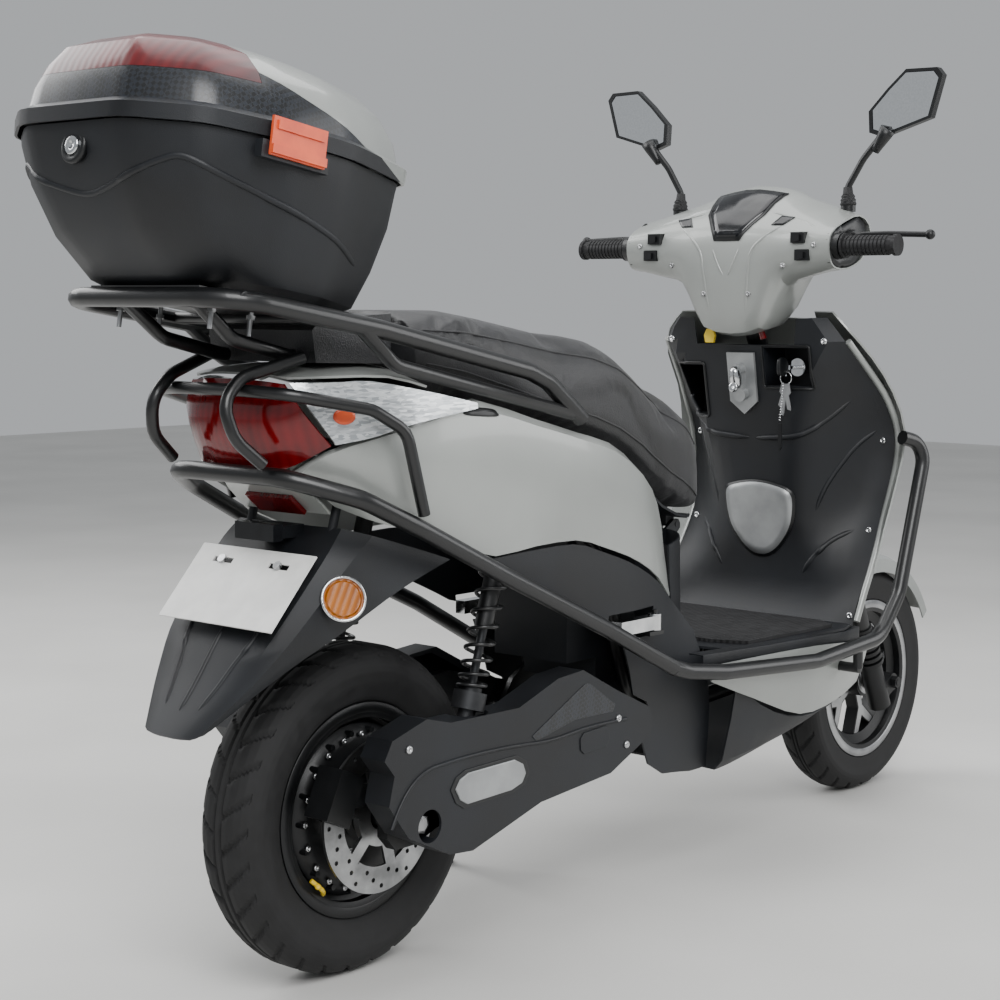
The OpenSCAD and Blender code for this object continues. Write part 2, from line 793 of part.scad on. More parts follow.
// ---- top case ----
function corner(a, v, b, t) = (1 - t) * (1 - t) * a + 2 * t * (1 - t) * v + t * t * b;
function rounded(poly, d, k) =
  [for (i = [0:len(poly) - 1])
    let(n = len(poly), v = poly[i], a = v + d * unit(poly[(i + n - 1) % n] - v),
        b = v + d * unit(poly[(i + 1) % n] - v))
    for (t = [0:k]) corner(a, v, b, t / k)];
case_plan = [[1, 0.5], [0.93, 0.78], [0.25, 1], [-0.25, 1], [-0.74, 0.84], [-1, 0.44]];
case_outline = rounded(concat(case_plan,
  [for (v = reversed(case_plan)) [v[0], -v[1]]]), 0.09, 2);
function case_ring(row, t) =
  [for (v = case_outline)
    [v[0] * (row[0] * case_length / 2 - t) + row[2], v[1] * (row[1] * case_width / 2 - t), row[3]]];
case_low = [
  // length share, width share, shift, height
  [0.56, 0.62, 48, 0], [0.64, 0.72, 43, 9], [0.79, 0.84, 22, 55], [0.90, 0.93, 8, 110],
  [0.95, 0.965, 0, 155], [0.96, 0.97, 0, rim_h]];
case_top = [
  [1, 1, 0, rim_h + gap], [1.005, 1.005, 0, rim_h + 18], [0.95, 0.95, 0, rim_h + 25],
  [0.93, 0.92, -1, rim_h + 48], [0.87, 0.84, -4, rim_h + 76], [0.78, 0.72, -10, rim_h + 98],
  [0.62, 0.54, -16, rim_h + 112], [0.32, 0.28, -20, case_height]];
latch_x = -42;
latch_w = 84;
latch_y = 1.005 * case_width / 2 + gap;
lid_hinge = [case_length / 2 + 1, 0, rim_h - 2];

module on_case() {
  placed()
    translate(case_mid)
      rotate([0, case_tilt, 0])
        children();
}

module case_shell() {
  color([0.045, 0.045, 0.05])
    on_case()
      union() {
        loft(concat([for (row = case_low) case_ring(row, 0)],
          [for (row = reversed(case_low)) case_ring(
            [row[0], row[1], row[2], row[3] + (row[3] == 0 ? panel_t : 0)], panel_t)]));
        pair()
          translate([latch_x - latch_w / 2 - 10, case_width / 2 - 11, rim_h - 26])
            cube([latch_w + 20, 11 + latch_y - case_width / 2 - gap, 20]);
        translate([0.93 * case_length / 2, -24, rim_h - 30])
          cube([12, 48, 20]);
      }
}

module lid_shell() {
  loft(concat([for (row = reversed(case_top)) reversed(case_ring(row, 0))],
    [for (i = [0:len(case_top) - 1]) let(row = case_top[i]) reversed(case_ring(
      [row[0], row[1], row[2], row[3] - (i == len(case_top) - 1 ? panel_t : 0)], panel_t))]));
}

// Space above the slanting edge of the bright top
module above_slant(g) {
  translate([-130, 0, rim_h + 92 + g])
    rotate([0, 17, 0])
      translate([-160, -case_width, 0])
        cube([700, 2 * case_width, 200]);
}
// Space taken by the lamp band at the back of the lid
module behind_band(g) {
  translate([-case_length, -case_width, rim_h + 62 - g])
    cube([case_length - 74 + g, 2 * case_width, 200]);
}

module case_lid() {
  color([0.05, 0.05, 0.055])
    on_case()
      difference() {
        lid_shell();
        above_slant(0);
        behind_band(0);
      }
}

module lid_cap() {
  color([0.62, 0.63, 0.62])
    on_case()
      difference() {
        intersection() {
          lid_shell();
          above_slant(gap);
        }
        behind_band(0);
      }
}

module lid_lens() {
  color([0.6, 0.02, 0.02])
    on_case()
      intersection() {
        lid_shell();
        behind_band(-gap);
      }
}

module latch() {
  union() {
    translate([latch_x - latch_w / 2, latch_y, rim_h - 22])
      cube([latch_w, 3.6, 44]);
    translate([latch_x - latch_w / 2, latch_y + 3, rim_h - 20])
      cube([latch_w, 4, 10]);
    translate([latch_x - latch_w / 2 + 6, latch_y + 3, rim_h + 8])
      cube([latch_w - 12, 3, 10]);
  }
}

module latch_left() {
  color([0.9, 0.25, 0.08])
    on_case()
      latch();
}

module latch_right() {
  color([0.9, 0.25, 0.08])
    on_case()
      mirror([0, 1, 0])
        latch();
}

module fasteners() {
  color([0.75, 0.75, 0.76])
    union() {
      on_case()
        for (b = case_bolts)
          translate([b[0], b[1], -46])
            union() {
              cylinder(h = 46 - gap / 2, r = bolt_r);
              translate([0, 0, 20])
                cylinder(h = 5, r = 5.5, $fn = flat_sides);
            }
      placed()
        for (s = [-1, 1])
          on_plate()
            translate([plate_h / 2 - 22, s * 52, 2.2])
              cylinder(h = 4, r = 6);
    }
}

// ---- seat ----
seat_at = [
  // x, half width, low z, high z
  [2, 122, 800, 884], [14, 133, 792, 886], [110, 137, 772, 884], [220, 138, 744, 868],
  [319, 137, 720, 852], [401, 133, 702, 845], [469, 126, 684, 828], [534, 117, 650, 798],
  [614, 105, 596, 762], [680, 92, 570, 738], [728, 74, 562, 700], [752, 50, 568, 656],
  [760, 24, 582, 622]];
seat_ring = [[0, 0], [0.7, 0], [0.93, 0.06], [1, 0.22], [0.99, 0.5], [0.95, 0.72], [0.82, 0.9],
  [0.55, 0.98], [0.25, 1], [0, 1]];
function seat_section(row) =
  [for (v = concat(seat_ring, [for (i = [len(seat_ring) - 2:-1:1])
    [-seat_ring[i][0], seat_ring[i][1]]]))
    p([row[0], v[0] * row[1], row[2] + v[1] * (row[3] - row[2])])];

module seat_cushion() {
  color([0.03, 0.03, 0.035])
    placed()
      loft([for (i = [0:18]) seat_section(spline(seat_at, i / 18))]);
}

seat_hinge = p([716, 0, 546]);
seat_pin_r = 5;
seat_ear = 31;
module seat_pan() {
  color([0.06, 0.06, 0.065])
    placed()
      union() {
        sheet([for (i = [0:13]) let(row = spline(seat_at, 0.07 + 0.8 * i / 13))
          [for (s = [-0.68, -0.3, 0, 0.3, 0.68]) p([row[0], s * row[1], row[2]]) - [0, 0, 2.1]]],
          4);
        translate([seat_hinge[0] - 22, -30, seat_hinge[2] - 2])
          cube([22, 60, 18 * kz]);
        disc_y(seat_hinge, seat_pin_r, -seat_ear - 6, seat_ear + 6);
      }
}

// ---- rear wheel and suspension ----
module tyre(r, w) {
  hb = 33.4;
  half = [[bead_r + 0.3, 23], [bead_r + 0.3, hb], [lip_r + 0.5, hb], [lip_r + 3, hb + 3.5],
    [lip_r + 0.35 * (r - lip_r), w / 2 - 3], [lip_r + 0.55 * (r - lip_r), w / 2],
    [r - 0.25 * (r - lip_r), w / 2 - 4], [r - 0.10 * (r - lip_r), w / 2 - 13],
    [r - 2.5, w / 2 - 22], [r, w / 2 - 31]];
  hollow = [[r - 13, 0], [r - 15, w / 2 - 22], [r - 26, w / 2 - 11], [lip_r + 20, w / 2 - 9],
    [lip_r + 4, hb - 6], [bead_r + 6, 23]];
  spun_y([0, 0, 0], concat(half, [for (v = reversed(half)) [v[0], -v[1]]],
    [for (v = reversed(hollow)) [v[0], -v[1]]], [for (i = [1:len(hollow) - 1]) hollow[i]]));
}

module rim_ring() {
  hb = 33.4;
  half = [[bead_r - 16, 0], [bead_r - 15, 16], [bead_r, 21], [bead_r, hb + 0.3],
    [lip_r, hb + 0.3], [lip_r, hb + 3], [bead_r + 2, hb + 3.6], [bead_r - rim_wall, hb + 1],
    [bead_r - rim_wall, 22], [bead_r - 16 - rim_wall, 15]];
  spun_y([0, 0, 0], concat(half, [for (i = [len(half) - 1:-1:1]) [half[i][0], -half[i][1]]]));
}

module at_rear() {
  placed()
    translate([0, 0, rear_r])
      children();
}

module at_front() {
  placed()
    translate([wheelbase, 0, front_r])
      children();
}

module rear_tyre() {
  color([0.03, 0.03, 0.03])
    at_rear()
      tyre(rear_r, rear_tyre_w);
}

module front_tyre() {
  color([0.03, 0.03, 0.03])
    at_front()
      tyre(front_r, front_tyre_w);
}

motor_half = 40;
module hub_motor() {
  color([0.04, 0.04, 0.045])
    at_rear()
      difference() {
        union() {
          rim_ring();
          spun_y([0, 0, 0], [[0, -motor_half - 12], [34, -motor_half - 12], [40, -motor_half - 4],
            [78, -motor_half], [104, -motor_half + 6], [bead_r - 12, -24], [bead_r - 12, 24],
            [104, motor_half - 6], [78, motor_half], [40, motor_half + 4], [34, motor_half + 12],
            [0, motor_half + 12]]);
          disc_y([0, 0, 0], 26, -64, -motor_half);
          for (a = [0:20:340])
            rotate([0, a, 0])
              disc_y([108, 0, 0], 4, -motor_half + 1, -28);
        }
        disc_y([0, 0, 0], rear_axle_r + run_fit, -100, 100);
      }
}

module rear_disc() {
  color([0.6, 0.6, 0.62])
    at_rear()
      difference() {
        union() {
          difference() {
            disc_y([0, 0, 0], disc_r, -74, -70);
            disc_y([0, 0, 0], disc_r - 36, -80, -60);
          }
          for (a = [15:60:345])
            rotate([0, a, 0])
              translate([30, -74, -9])
                cube([disc_r - 60, 4, 18]);
          disc_y([0, 0, 0], 42, -74, -64 - gap / 2);
        }
        disc_y([0, 0, 0], 20, -80, -60);
        for (k = [0:2], a = [0:30:330])
          rotate([0, a + 10 * k, 0])
            disc_y([disc_r - 9 - 9 * k, 0, 0], 3.2, -80, -60);
      }
}

arm_outline = [[470, 300], [452, 316], [330, 346], [170, 340], [84, 338], [34, 296], [-16, 262],
  [-34, 240],
  [-34, 204], [-18, 186], [20, 186], [60, 200], [220, 226], [380, 240], [455, 246], [474, 262]];
cover_outline = [[-66, 300], [-84, 322], [-70, 346], [-6, 364], [40, 352], [178, 350], [262, 378],
  [318, 382], [400, 340], [474, 306], [488, 284], [478, 262], [384, 222], [226, 210], [84, 172],
  [40, 176], [-40, 214], [-76, 262]];
function scaled_outline(o, s) =
  let(c = [for (k = [0, 1]) [for (v = o) v[k]] * [for (v = o) 1 / len(o)]])
  [for (v = o) [(c[0] + (v[0] - c[0]) * s) * kx, (c[1] + (v[1] - c[1]) * s) * kz]];

module swingarm() {
  color([0.04, 0.04, 0.045])
    placed()
      difference() {
        union() {
          pair()
            side_plate(scaled_outline(arm_outline, 1), arm_in, arm_out);
          disc_y(pivot_at, 20, -rail_y + 14, rail_y - 14);
          pair()
            disc_y([pivot_at[0] - 54, 0, pivot_at[2] + 2], 16, 0, arm_in + 2);
          pair()
            side_plate([[pivot_at[0] - 60, pivot_at[2] - 14], [pivot_at[0] + 4, pivot_at[2] - 20],
              [pivot_at[0] + 4, pivot_at[2] + 20], [pivot_at[0] - 60, pivot_at[2] + 16]],
              44, 66);
          disc_y([0, 0, rear_r], rear_axle_r, -arm_out - 22, arm_out + 22);
          pair()
            disc_y([0, 0, rear_r], 15, 68, arm_in + 1);
          pair()
            disc_y([0, 0, rear_r], 14, arm_out - 1, arm_out + 12);
          pair()
            disc_y(shock_low, shock_pin_r, arm_in, shock_y + 11);
        }
        disc_y(pivot_at, pivot_pin_r + run_fit, -body_width, body_width);
        pair()
          disc_y(pivot_at, 24, rail_y - 14, rail_y + 4);
      }
}

module arm_covers() {
  color([0.05, 0.05, 0.055])
    placed()
      pair()
        difference() {
          side_plate(scaled_outline(cover_outline, 1), arm_out + gap, 162);
          side_plate(scaled_outline(cover_outline, 0.92), arm_out - 1, 158);
          translate(shock_low)
            rotate([0, shock_lean, 0])
              translate([0, shock_y, 0])
                cylinder(h = 120, r = 29);
          disc_y([0, 0, rear_r], 22, arm_out - 1, 300);
        }
}

module rear_caliper() {
  color([0.12, 0.12, 0.13])
    at_rear() {
      side_plate([[-100, 30], [-100, 62], [-20, 52], [-14, 24]], gap - arm_in, gap + 5 - arm_in);
      rotate([0, -155, 0])
        difference() {
          translate([78, -arm_in + gap, -34])
            cube([44, arm_in - 58, 68]);
          translate([60, -76, -50])
            cube([disc_r - 60 + 6, 8, 100]);
        }
    }
}

spring_r = 21;
spring_wire = 4.2;
spring_low = 50;
cup_r = 22;
spring_high = 232;
coils = 8;
module on_shock() {
  placed()
    translate(shock_low)
      rotate([0, shock_lean, 0])
        children();
}

module shock_bodies() {
  color([0.04, 0.04, 0.045])
    on_shock()
      pair()
        translate([0, shock_y, 0])
          difference() {
            union() {
              translate([0, 0, 138])
                cylinder(h = shock_len - 138 - 12, r = 13);
              translate([0, 0, spring_high])
                cylinder(h = 9, r = cup_r);
              translate([0, 11, shock_len])
                rotate([90, 0, 0])
                  cylinder(h = 22, r = 14);
            }
            translate([0, 0, 137])
              cylinder(h = 100, r = shock_rod_r + run_fit + gap);
            translate([0, 30, shock_len])
              rotate([90, 0, 0])
                cylinder(h = 60, r = shock_pin_r + run_fit);
          }
}

module shock_rods() {
  color([0.5, 0.5, 0.52])
    on_shock()
      pair()
        translate([0, shock_y, 0])
          difference() {
            union() {
              translate([0, 0, 12])
                cylinder(h = 160, r = shock_rod_r);
              translate([0, 0, spring_low - 24])
                cylinder(h = 24, r = cup_r + 1);
              translate([0, 0, spring_low - 4])
                cylinder(h = 10, r = 15);
              translate([0, 11, 0])
                rotate([90, 0, 0])
                  cylinder(h = 22, r = 14);
              translate([0, 0, 8])
                cylinder(h = 20, r = 12);
            }
            translate([0, 30, 0])
              rotate([90, 0, 0])
                cylinder(h = 60, r = shock_pin_r + run_fit);
          }
}

// Progressive coil: close turns low down, wide turns higher up
function coil_height(t) = spring_low + spring_wire / 2 + spring_seat
  + (spring_high - spring_low - spring_wire - 2 * spring_seat) * pow(t, 1.35);
spring_seat = 0.3;
module coil() {
  turns = coils;
  steps = 12 * turns;
  loft([for (i = [0:steps]) let(t = i / steps, a = 360 * turns * t)
    [for (k = [0:5]) let(b = -60 * k)
      [(spring_r - spring_wire / 2 + spring_wire / 2 * cos(b)) * cos(a),
       (spring_r - spring_wire / 2 + spring_wire / 2 * cos(b)) * sin(a),
       coil_height(t) + spring_wire / 2 * sin(b)]]]);
}

module shock_springs() {
  color([0.05, 0.05, 0.055])
    on_shock()
      for (s = [-1, 1])
        translate([0, s * shock_y, 0])
          coil();
}

// ---- front wheel and fork ----
module spoke() {
  side_plate([[24, -11], [62, -9], [112, -44], [116, -34], [112, -24], [84, 0], [112, 24],
    [116, 34], [112, 44], [62, 9], [24, 11]], -12, 12);
}

module front_rim() {
  color([0.05, 0.05, 0.055])
    at_front()
      difference() {
        union() {
          rim_ring();
          for (a = [0:72:288])
            rotate([0, a, 0])
              spoke();
          disc_y([0, 0, 0], 34, -34, 34);
          disc_y([0, 0, 0], 20, -52, 52);
        }
        disc_y([0, 0, 0], axle_r + run_fit, -100, 100);
      }
}

module fork_lowers() {
  color([0.05, 0.05, 0.055])
    steered()
      union() {
        pair()
          difference() {
            union() {
              translate([0, leg_y, -46])
                cylinder(h = 90, r = leg_r);
              translate([0, leg_y, 40])
                cylinder(h = 82, r = 18);
              for (k = [0:5])
                translate([0, leg_y, 46 + 12 * k])
                  cylinder(h = 7, r = 25 - 0.6 * k);
              translate([0, leg_y - 16, axle_w - 15])
                cube([axle_u, 32, 30]);
              translate([axle_u, leg_y + 16, axle_w])
                rotate([90, 0, 0])
                  cylinder(h = 32, r = 16);
            }
            translate([0, leg_y, -4])
              cylinder(h = 130, r = slider_r + run_fit);
          }
        translate([axle_u, 102, axle_w])
          rotate([90, 0, 0])
            cylinder(h = 204, r = axle_r);
        for (s = [-1, 1])
          translate([axle_u, s * 96 + 5, axle_w])
            rotate([90, 0, 0])
              cylinder(h = 10, r = 11, $fn = flat_sides);
      }
}

fender_r = front_r + 14;
module front_fender() {
  color([0.62, 0.63, 0.62])
    at_front()
      rotate([90, 0, 0])
        union() {
          rotate([0, 0, 28])
            rotate_extrude(angle = 118)
              polygon([[fender_r, -50], [fender_r - 24, -54], [fender_r - 24, -51.5],
                [fender_r - 2, -47.5], [fender_r + 5, -30], [fender_r + 8, 0],
                [fender_r + 5, 30], [fender_r - 2, 47.5], [fender_r - 24, 51.5],
                [fender_r - 24, 54], [fender_r, 50], [fender_r + 8, 32], [fender_r + 11, 0],
                [fender_r + 8, -32]]);
          for (s = [-1, 1])
            translate([0, 0, s * 54.3 - 2.3])
              linear_extrude(4.6)
                polygon([[-86, 108], [-100, 118], [-136, 158], [-120, 170]]);
        }
}

module steering_stem() {
  color([0.05, 0.05, 0.055])
    steered()
      difference() {
        union() {
          pair()
            translate([0, leg_y, 60 + 4])
              cylinder(h = crown_low - 64 + 2, r = slider_r);
          translate([-28, -leg_y - 24, crown_low])
            cube([56, 2 * leg_y + 48, crown_high - crown_low]);
          translate([0, 0, crown_low])
            cylinder(h = bar_w - 14 - crown_low, r = stem_r);
          translate([0, 0, crown_high])
            cylinder(h = head_low - crown_high - 1, r = 26);
          translate([0, 0, head_high + 1])
            cylinder(h = 10, r = 27);
          translate([bar_u - 9, -22, bar_w - 40])
            cube([27, 44, 52]);
        }
        translate([bar_u, 40, bar_w])
          rotate([90, 0, 0])
            cylinder(h = 80, r = bar_r + 0.02);
      }
}

// ---- handlebar ----
module bar_cylinder(y0, y1, r) {
  translate([bar_u, y1, bar_w])
    rotate([90, 0, 0])
      cylinder(h = y1 - y0, r = r);
}

module handlebar() {
  color([0.05, 0.05, 0.055]) {
    steered()
      difference() {
        union() {
          bar_cylinder(-bar_half + 4, bar_half - 4, bar_r);
          for (s = [-1, 1]) {
            bar_cylinder(s * (cover_half + collar_half) / 2 - 6, s * (cover_half + collar_half) / 2
              + 6, 21);
            translate([bar_u, s * lever_at[1] - 6, bar_w - 9])
              cube([44, 12, 18]);
          }
        }
        for (s = [-1, 1])
          translate([bar_u + 24, s * lever_at[1] - 20, bar_w - 5 - gap])
            cube([40, 40, 10 + 2 * gap]);
      }
    steered()
      for (s = [-1, 1])
        translate([lever_at[0], s * lever_at[1], bar_w - 8])
          cylinder(h = 16, r = lever_pin);
  }
}

lever_at = [bar_u + 36, (cover_half + collar_half) / 2, bar_w];
lever_pin = 3;
module lever() {
  difference() {
    union() {
      translate(lever_at - [0, 0, 5])
        cylinder(h = 10, r = 6);
      tube([lever_at + [1, 2, 0], lever_at + [8, 18, 0], lever_at + [14, 60, -2],
        lever_at + [12, 132, -4]], 4.6, 30);
      translate(lever_at + [12, 134, -4])
        sphere(r = 8);
    }
    translate(lever_at - [0, 0, 10])
      cylinder(h = 20, r = lever_pin + run_fit);
  }
}

module brake_lever_left() {
  color([0.05, 0.05, 0.055])
    steered()
      lever();
}

module brake_lever_right() {
  color([0.05, 0.05, 0.055])
    steered()
      mirror([0, 1, 0])
        lever();
}

module grip() {
  difference() {
    union() {
      bar_cylinder(collar_half + 1, bar_half, grip_r - 1.5);
      for (y = [collar_half + 6:7:bar_half - 16])
        bar_cylinder(y, y + 4.5, grip_r);
      bar_cylinder(bar_half - 6, bar_half, grip_r + 1);
      bar_cylinder(collar_half + 1, collar_half + 4, grip_r + 4);
    }
    bar_cylinder(collar_half - 1, bar_half - 3, bar_r + run_fit);
  }
}

module left_grip() {
  color([0.04, 0.04, 0.04])
    steered()
      grip();
}

module throttle_grip() {
  color([0.04, 0.04, 0.04])
    steered()
      mirror([0, 1, 0])
        grip();
}

cover_at = [
  [0, [[912, 846], [898, 900], [894, 985], [914, 1030], [962, 1080], [1015, 1094], [1072, 1050],
    [1040, 930], [1010, 862], [960, 846]]],
  [60, [[915, 860], [899, 905], [893, 985], [913, 1027], [960, 1069], [1015, 1086], [1068, 1045],
    [1038, 930], [1005, 874], [960, 860]]],
  [100, [[926, 926], [902, 945], [892, 985], [910, 1022], [950, 1055], [1010, 1069], [1055, 1035],
    [1042, 980], [1010, 945], [970, 930]]],
  [150, [[920, 942], [899, 955], [890, 985], [902, 1016], [945, 1043], [1005, 1055],
    [1040, 1030], [1032, 990], [1000, 960], [960, 946]]],
  [200, [[914, 952], [896, 962], [888, 988], [898, 1011], [937, 1030], [985, 1040],
    [1018, 1022], [1012, 990], [990, 966], [950, 952]]]];
function cover_profile(y) =
  let(q = [for (row = cover_at) for (v = [row[1]]) v], t = y < 60 ? y / 60 : y < 100 ? 1
    + (y - 60) / 40 : 2 + (y - 100) / 50)
  [for (k = [0:9]) spline([for (row = q) row[k]], t / 4)];
function cover_ring(y, t) =
  let(prof = cover_profile(abs(y)), n = 24,
      ring = [for (i = [0:n - 1]) let(v = loop_spline(prof, i / n)) p([v[0], 0, v[1]])])
  [for (v = shrink(ring, t)) v + [0, y, 0]];
cover_ys = [-200, -188, -165, -140, -118, -100, -84, -70, -55, -30, 0, 30, 55, 70, 84, 100, 118,
  140, 165, 188, 200];

module headset_cover() {
  color([0.62, 0.63, 0.62])
    placed()
      difference() {
        ring_shell(concat([for (y = cover_ys) cover_ring(y, 0)],
          [for (y = reversed(cover_ys)) cover_ring(y, panel_t)]));
        translate(steer_at)
          rotate([0, -rake, 0]) {
            translate([0, 0, 640])
              cylinder(h = 110, r = 29);
          }
        for (s = [-1, 1])
          translate(p([1000, s * 168, 1030]))
            cylinder(h = 40, r = mirror_foot_r + gap);
        for (at = switch_at)
          translate(p(at) - [12, 13, 9])
            cube([40, 26, 18]);
      }
}
mirror_foot_r = 12;
switch_at = [[891, 142, 1004], [891, 150, 976], [891, -142, 1002], [891, -150, 974]];

module switch_pods() {
  color([0.03, 0.03, 0.03])
    placed()
      for (at = switch_at)
        translate(p(at) - [4, 13 - gap, 9 - gap])
          union() {
            cube([10, 26 - 2 * gap, 18 - 2 * gap]);
            translate([-4, 7, 3])
              cube([5, 11, 10]);
          }
}

module mirror_arm() {
  union() {
    translate(p([1000, 168, 1046]))
      cylinder(h = 18, r = mirror_foot_r);
    tube(ps([[1000, 168, 1060], [1000, 164, 1082], [1000, 194, 1130], [1000, 232, 1172]]), 5.5,
      40);
    translate([1003 * kx, 0, 0])
      rotate([90, 0, 90])
        difference() {
          linear_extrude(14)
            polygon([for (v = mirror_outline) [v[0] * ky, v[1] * kz]]);
          translate([0, 0, -1])
            linear_extrude(3)
              polygon([for (v = mirror_outline) [(264 + (v[0] - 264) * 0.9) * ky,
                (1218 + (v[1] - 1218) * 0.9) * kz]]);
        }
    translate([1003 * kx + 13, 0, 0])
      rotate([90, 0, 90])
        linear_extrude(8)
          polygon([for (v = mirror_outline) [(264 + (v[0] - 264) * 0.8) * ky,
            (1218 + (v[1] - 1218) * 0.8) * kz]]);
    translate(p([1000, 232, 1172]) - [2, 8, 8])
      cube([10, 16, 16]);
  }
}
mirror_outline = [[321, 1268], [266, 1269], [233, 1240], [200, 1206], [202, 1172], [226, 1164],
  [312, 1190], [331, 1256]];

module mirror_left() {
  color([0.04, 0.04, 0.045])
    placed()
      mirror_arm();
}

module mirror_right() {
  color([0.04, 0.04, 0.045])
    placed()
      mirror([0, 1, 0])
        mirror_arm();
}

// ---- foot pegs and stand ----
module foot_peg() {
  difference() {
    union() {
      translate(p(peg_at) + [0, 0, 8])
        cylinder(h = 24, r = 10);
      translate(p(peg_at) + [-92, -9, 10])
        cube([90, 18, 20]);
    }
    translate(p(peg_at) + [0, 0, -10])
      cylinder(h = 60, r = peg_pin_r + run_fit);
  }
}

module foot_peg_left() {
  color([0.75, 0.75, 0.76])
    placed()
      foot_peg();
}

module foot_peg_right() {
  color([0.75, 0.75, 0.76])
    placed()
      mirror([0, 1, 0])
        foot_peg();
}

stand_at = p([440, 128, 192]);
stand_foot = [450 * kx, 230, 0];
stand_pin_r = 6;
module side_stand() {
  color([0.05, 0.05, 0.055])
    placed()
      difference() {
        union() {
          disc_y(stand_at, 16, stand_at[1] - 8, stand_at[1] + 8);
          tube([stand_at - [0, 0, 8], stand_at + [3, 18, -42], stand_foot + [0, 0, 5]], 9, 30);
          translate(stand_foot)
            cylinder(h = 8, r = 20);
        }
        disc_y(stand_at, stand_pin_r + run_fit, 0, body_width);
      }
}

frame();
battery_box();
floor_panel();
floor_mat();
floor_fairings();
belly_pan();
leg_shield();
front_cowl();
headlamp();
hook_plate();
ignition_lock();
side_panel_left();
side_panel_right();
skirts();
front_panel();
tail_cover();
tail_lens();
clear_lenses();
mudguard();
number_plate();
reflectors();
tail_bolster();
rack();
crash_bar();
guard_bars();
case_shell();
fasteners();
case_lid();
lid_cap();
lid_lens();
latch_left();
latch_right();
seat_cushion();
seat_pan();
swingarm();
arm_covers();
rear_caliper();
rear_tyre();
hub_motor();
rear_disc();
shock_bodies();
shock_rods();
shock_springs();
front_tyre();
front_rim();
fork_lowers();
front_fender();
steering_stem();
handlebar();
headset_cover();
switch_pods();
throttle_grip();
left_grip();
brake_lever_left();
brake_lever_right();
mirror_left();
mirror_right();
foot_peg_left();
foot_peg_right();
side_stand();
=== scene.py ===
import math
import bmesh
import bpy
from mathutils import Matrix, Vector
from mathutils.bvhtree import BVHTree


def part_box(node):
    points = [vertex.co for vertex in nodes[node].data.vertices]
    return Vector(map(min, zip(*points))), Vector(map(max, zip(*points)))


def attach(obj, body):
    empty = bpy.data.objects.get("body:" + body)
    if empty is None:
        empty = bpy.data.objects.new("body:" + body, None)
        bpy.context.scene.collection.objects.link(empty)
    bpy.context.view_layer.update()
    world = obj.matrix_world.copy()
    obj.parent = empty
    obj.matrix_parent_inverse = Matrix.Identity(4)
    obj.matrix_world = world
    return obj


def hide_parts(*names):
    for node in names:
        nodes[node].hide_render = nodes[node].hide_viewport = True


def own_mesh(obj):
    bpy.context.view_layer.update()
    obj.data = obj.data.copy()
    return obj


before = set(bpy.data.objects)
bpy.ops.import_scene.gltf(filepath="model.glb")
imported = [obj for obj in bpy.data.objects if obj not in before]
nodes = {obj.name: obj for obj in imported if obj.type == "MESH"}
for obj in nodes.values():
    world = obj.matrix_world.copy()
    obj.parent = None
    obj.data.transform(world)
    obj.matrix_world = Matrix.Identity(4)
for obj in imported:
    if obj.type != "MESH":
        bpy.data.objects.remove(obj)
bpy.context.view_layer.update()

midX = 0.549774  # the box centre measured from the rear axle
caseTilt = math.radians(9)
caseFloor = (-256, 0, 905.4)
sides = ((1, "left"), (-1, "right"))


def at(x, y, z):  # millimetres from the ground under the rear axle
    return Vector((x / 1000 - midX, y / 1000, z / 1000))


def atCase(x, y, z):  # millimetres from the middle of the top case's floor
    turned = Matrix.Rotation(caseTilt, 3, "Y") @ Vector((x, y, z))
    return at(caseFloor[0] + turned.x, turned.y, caseFloor[2] + turned.z)


def linear(hexCode):
    channels = [int(hexCode[i:i + 2], 16) / 255 for i in (1, 3, 5)]
    return [c / 12.92 if c <= 0.04045 else ((c + 0.055) / 1.055) ** 2.4 for c in channels] + [1]


def addObject(name, data):
    obj = bpy.data.objects.new(name, data)
    bpy.context.scene.collection.objects.link(obj)
    return obj


def splitEdges(obj, angle):
    split = obj.modifiers.new("edges", "EDGE_SPLIT")
    split.split_angle = math.radians(angle)


camera = {"x": -1816, "y": -1840, "z": 900, "yaw": 0.710, "pitch": 0.102, "roll": 0.004,
          "lens": 70.3}


def aimCamera():
    yaw, pitch, roll = camera["yaw"], camera["pitch"], camera["roll"]
    view = Vector((math.cos(yaw) * math.cos(pitch), math.sin(yaw) * math.cos(pitch),
                   -math.sin(pitch)))
    level = view.cross(Vector((0, 0, 1))).normalized()
    upright = level.cross(view)
    right = math.cos(roll) * level + math.sin(roll) * upright
    up = -math.sin(roll) * level + math.cos(roll) * upright
    data = bpy.data.cameras.new("camera")
    data.lens = camera["lens"]
    obj = addObject("camera", data)
    turned = Matrix((right, up, -view)).transposed().to_4x4()
    obj.matrix_world = Matrix.Translation(at(camera["x"], camera["y"], camera["z"])) @ turned
    bpy.context.scene.camera = obj


aimCamera()
print("camera placed")


def addNode(tree, kind, settings=(), links=()):
    made = tree.nodes.new(kind)
    for name, value in dict(settings).items():
        if isinstance(name, int) or name in made.inputs:
            made.inputs[name].default_value = value
        else:
            setattr(made, name, value)
    for socket, source in dict(links).items():
        tree.links.new(source, made.inputs[socket])
    return made


def newFinish(name, roughness, metallic=0.0, **shader):
    mat = bpy.data.materials.new(name)
    mat.use_nodes = True
    tree = mat.node_tree
    skin = tree.nodes["Principled BSDF"]
    skin.inputs["Roughness"].default_value = roughness
    skin.inputs["Metallic"].default_value = metallic
    for key, value in shader.items():
        skin.inputs[key.replace("_", " ")].default_value = value
    place = addNode(tree, "ShaderNodeTexCoord").outputs["Object"]
    return mat, tree, skin, place


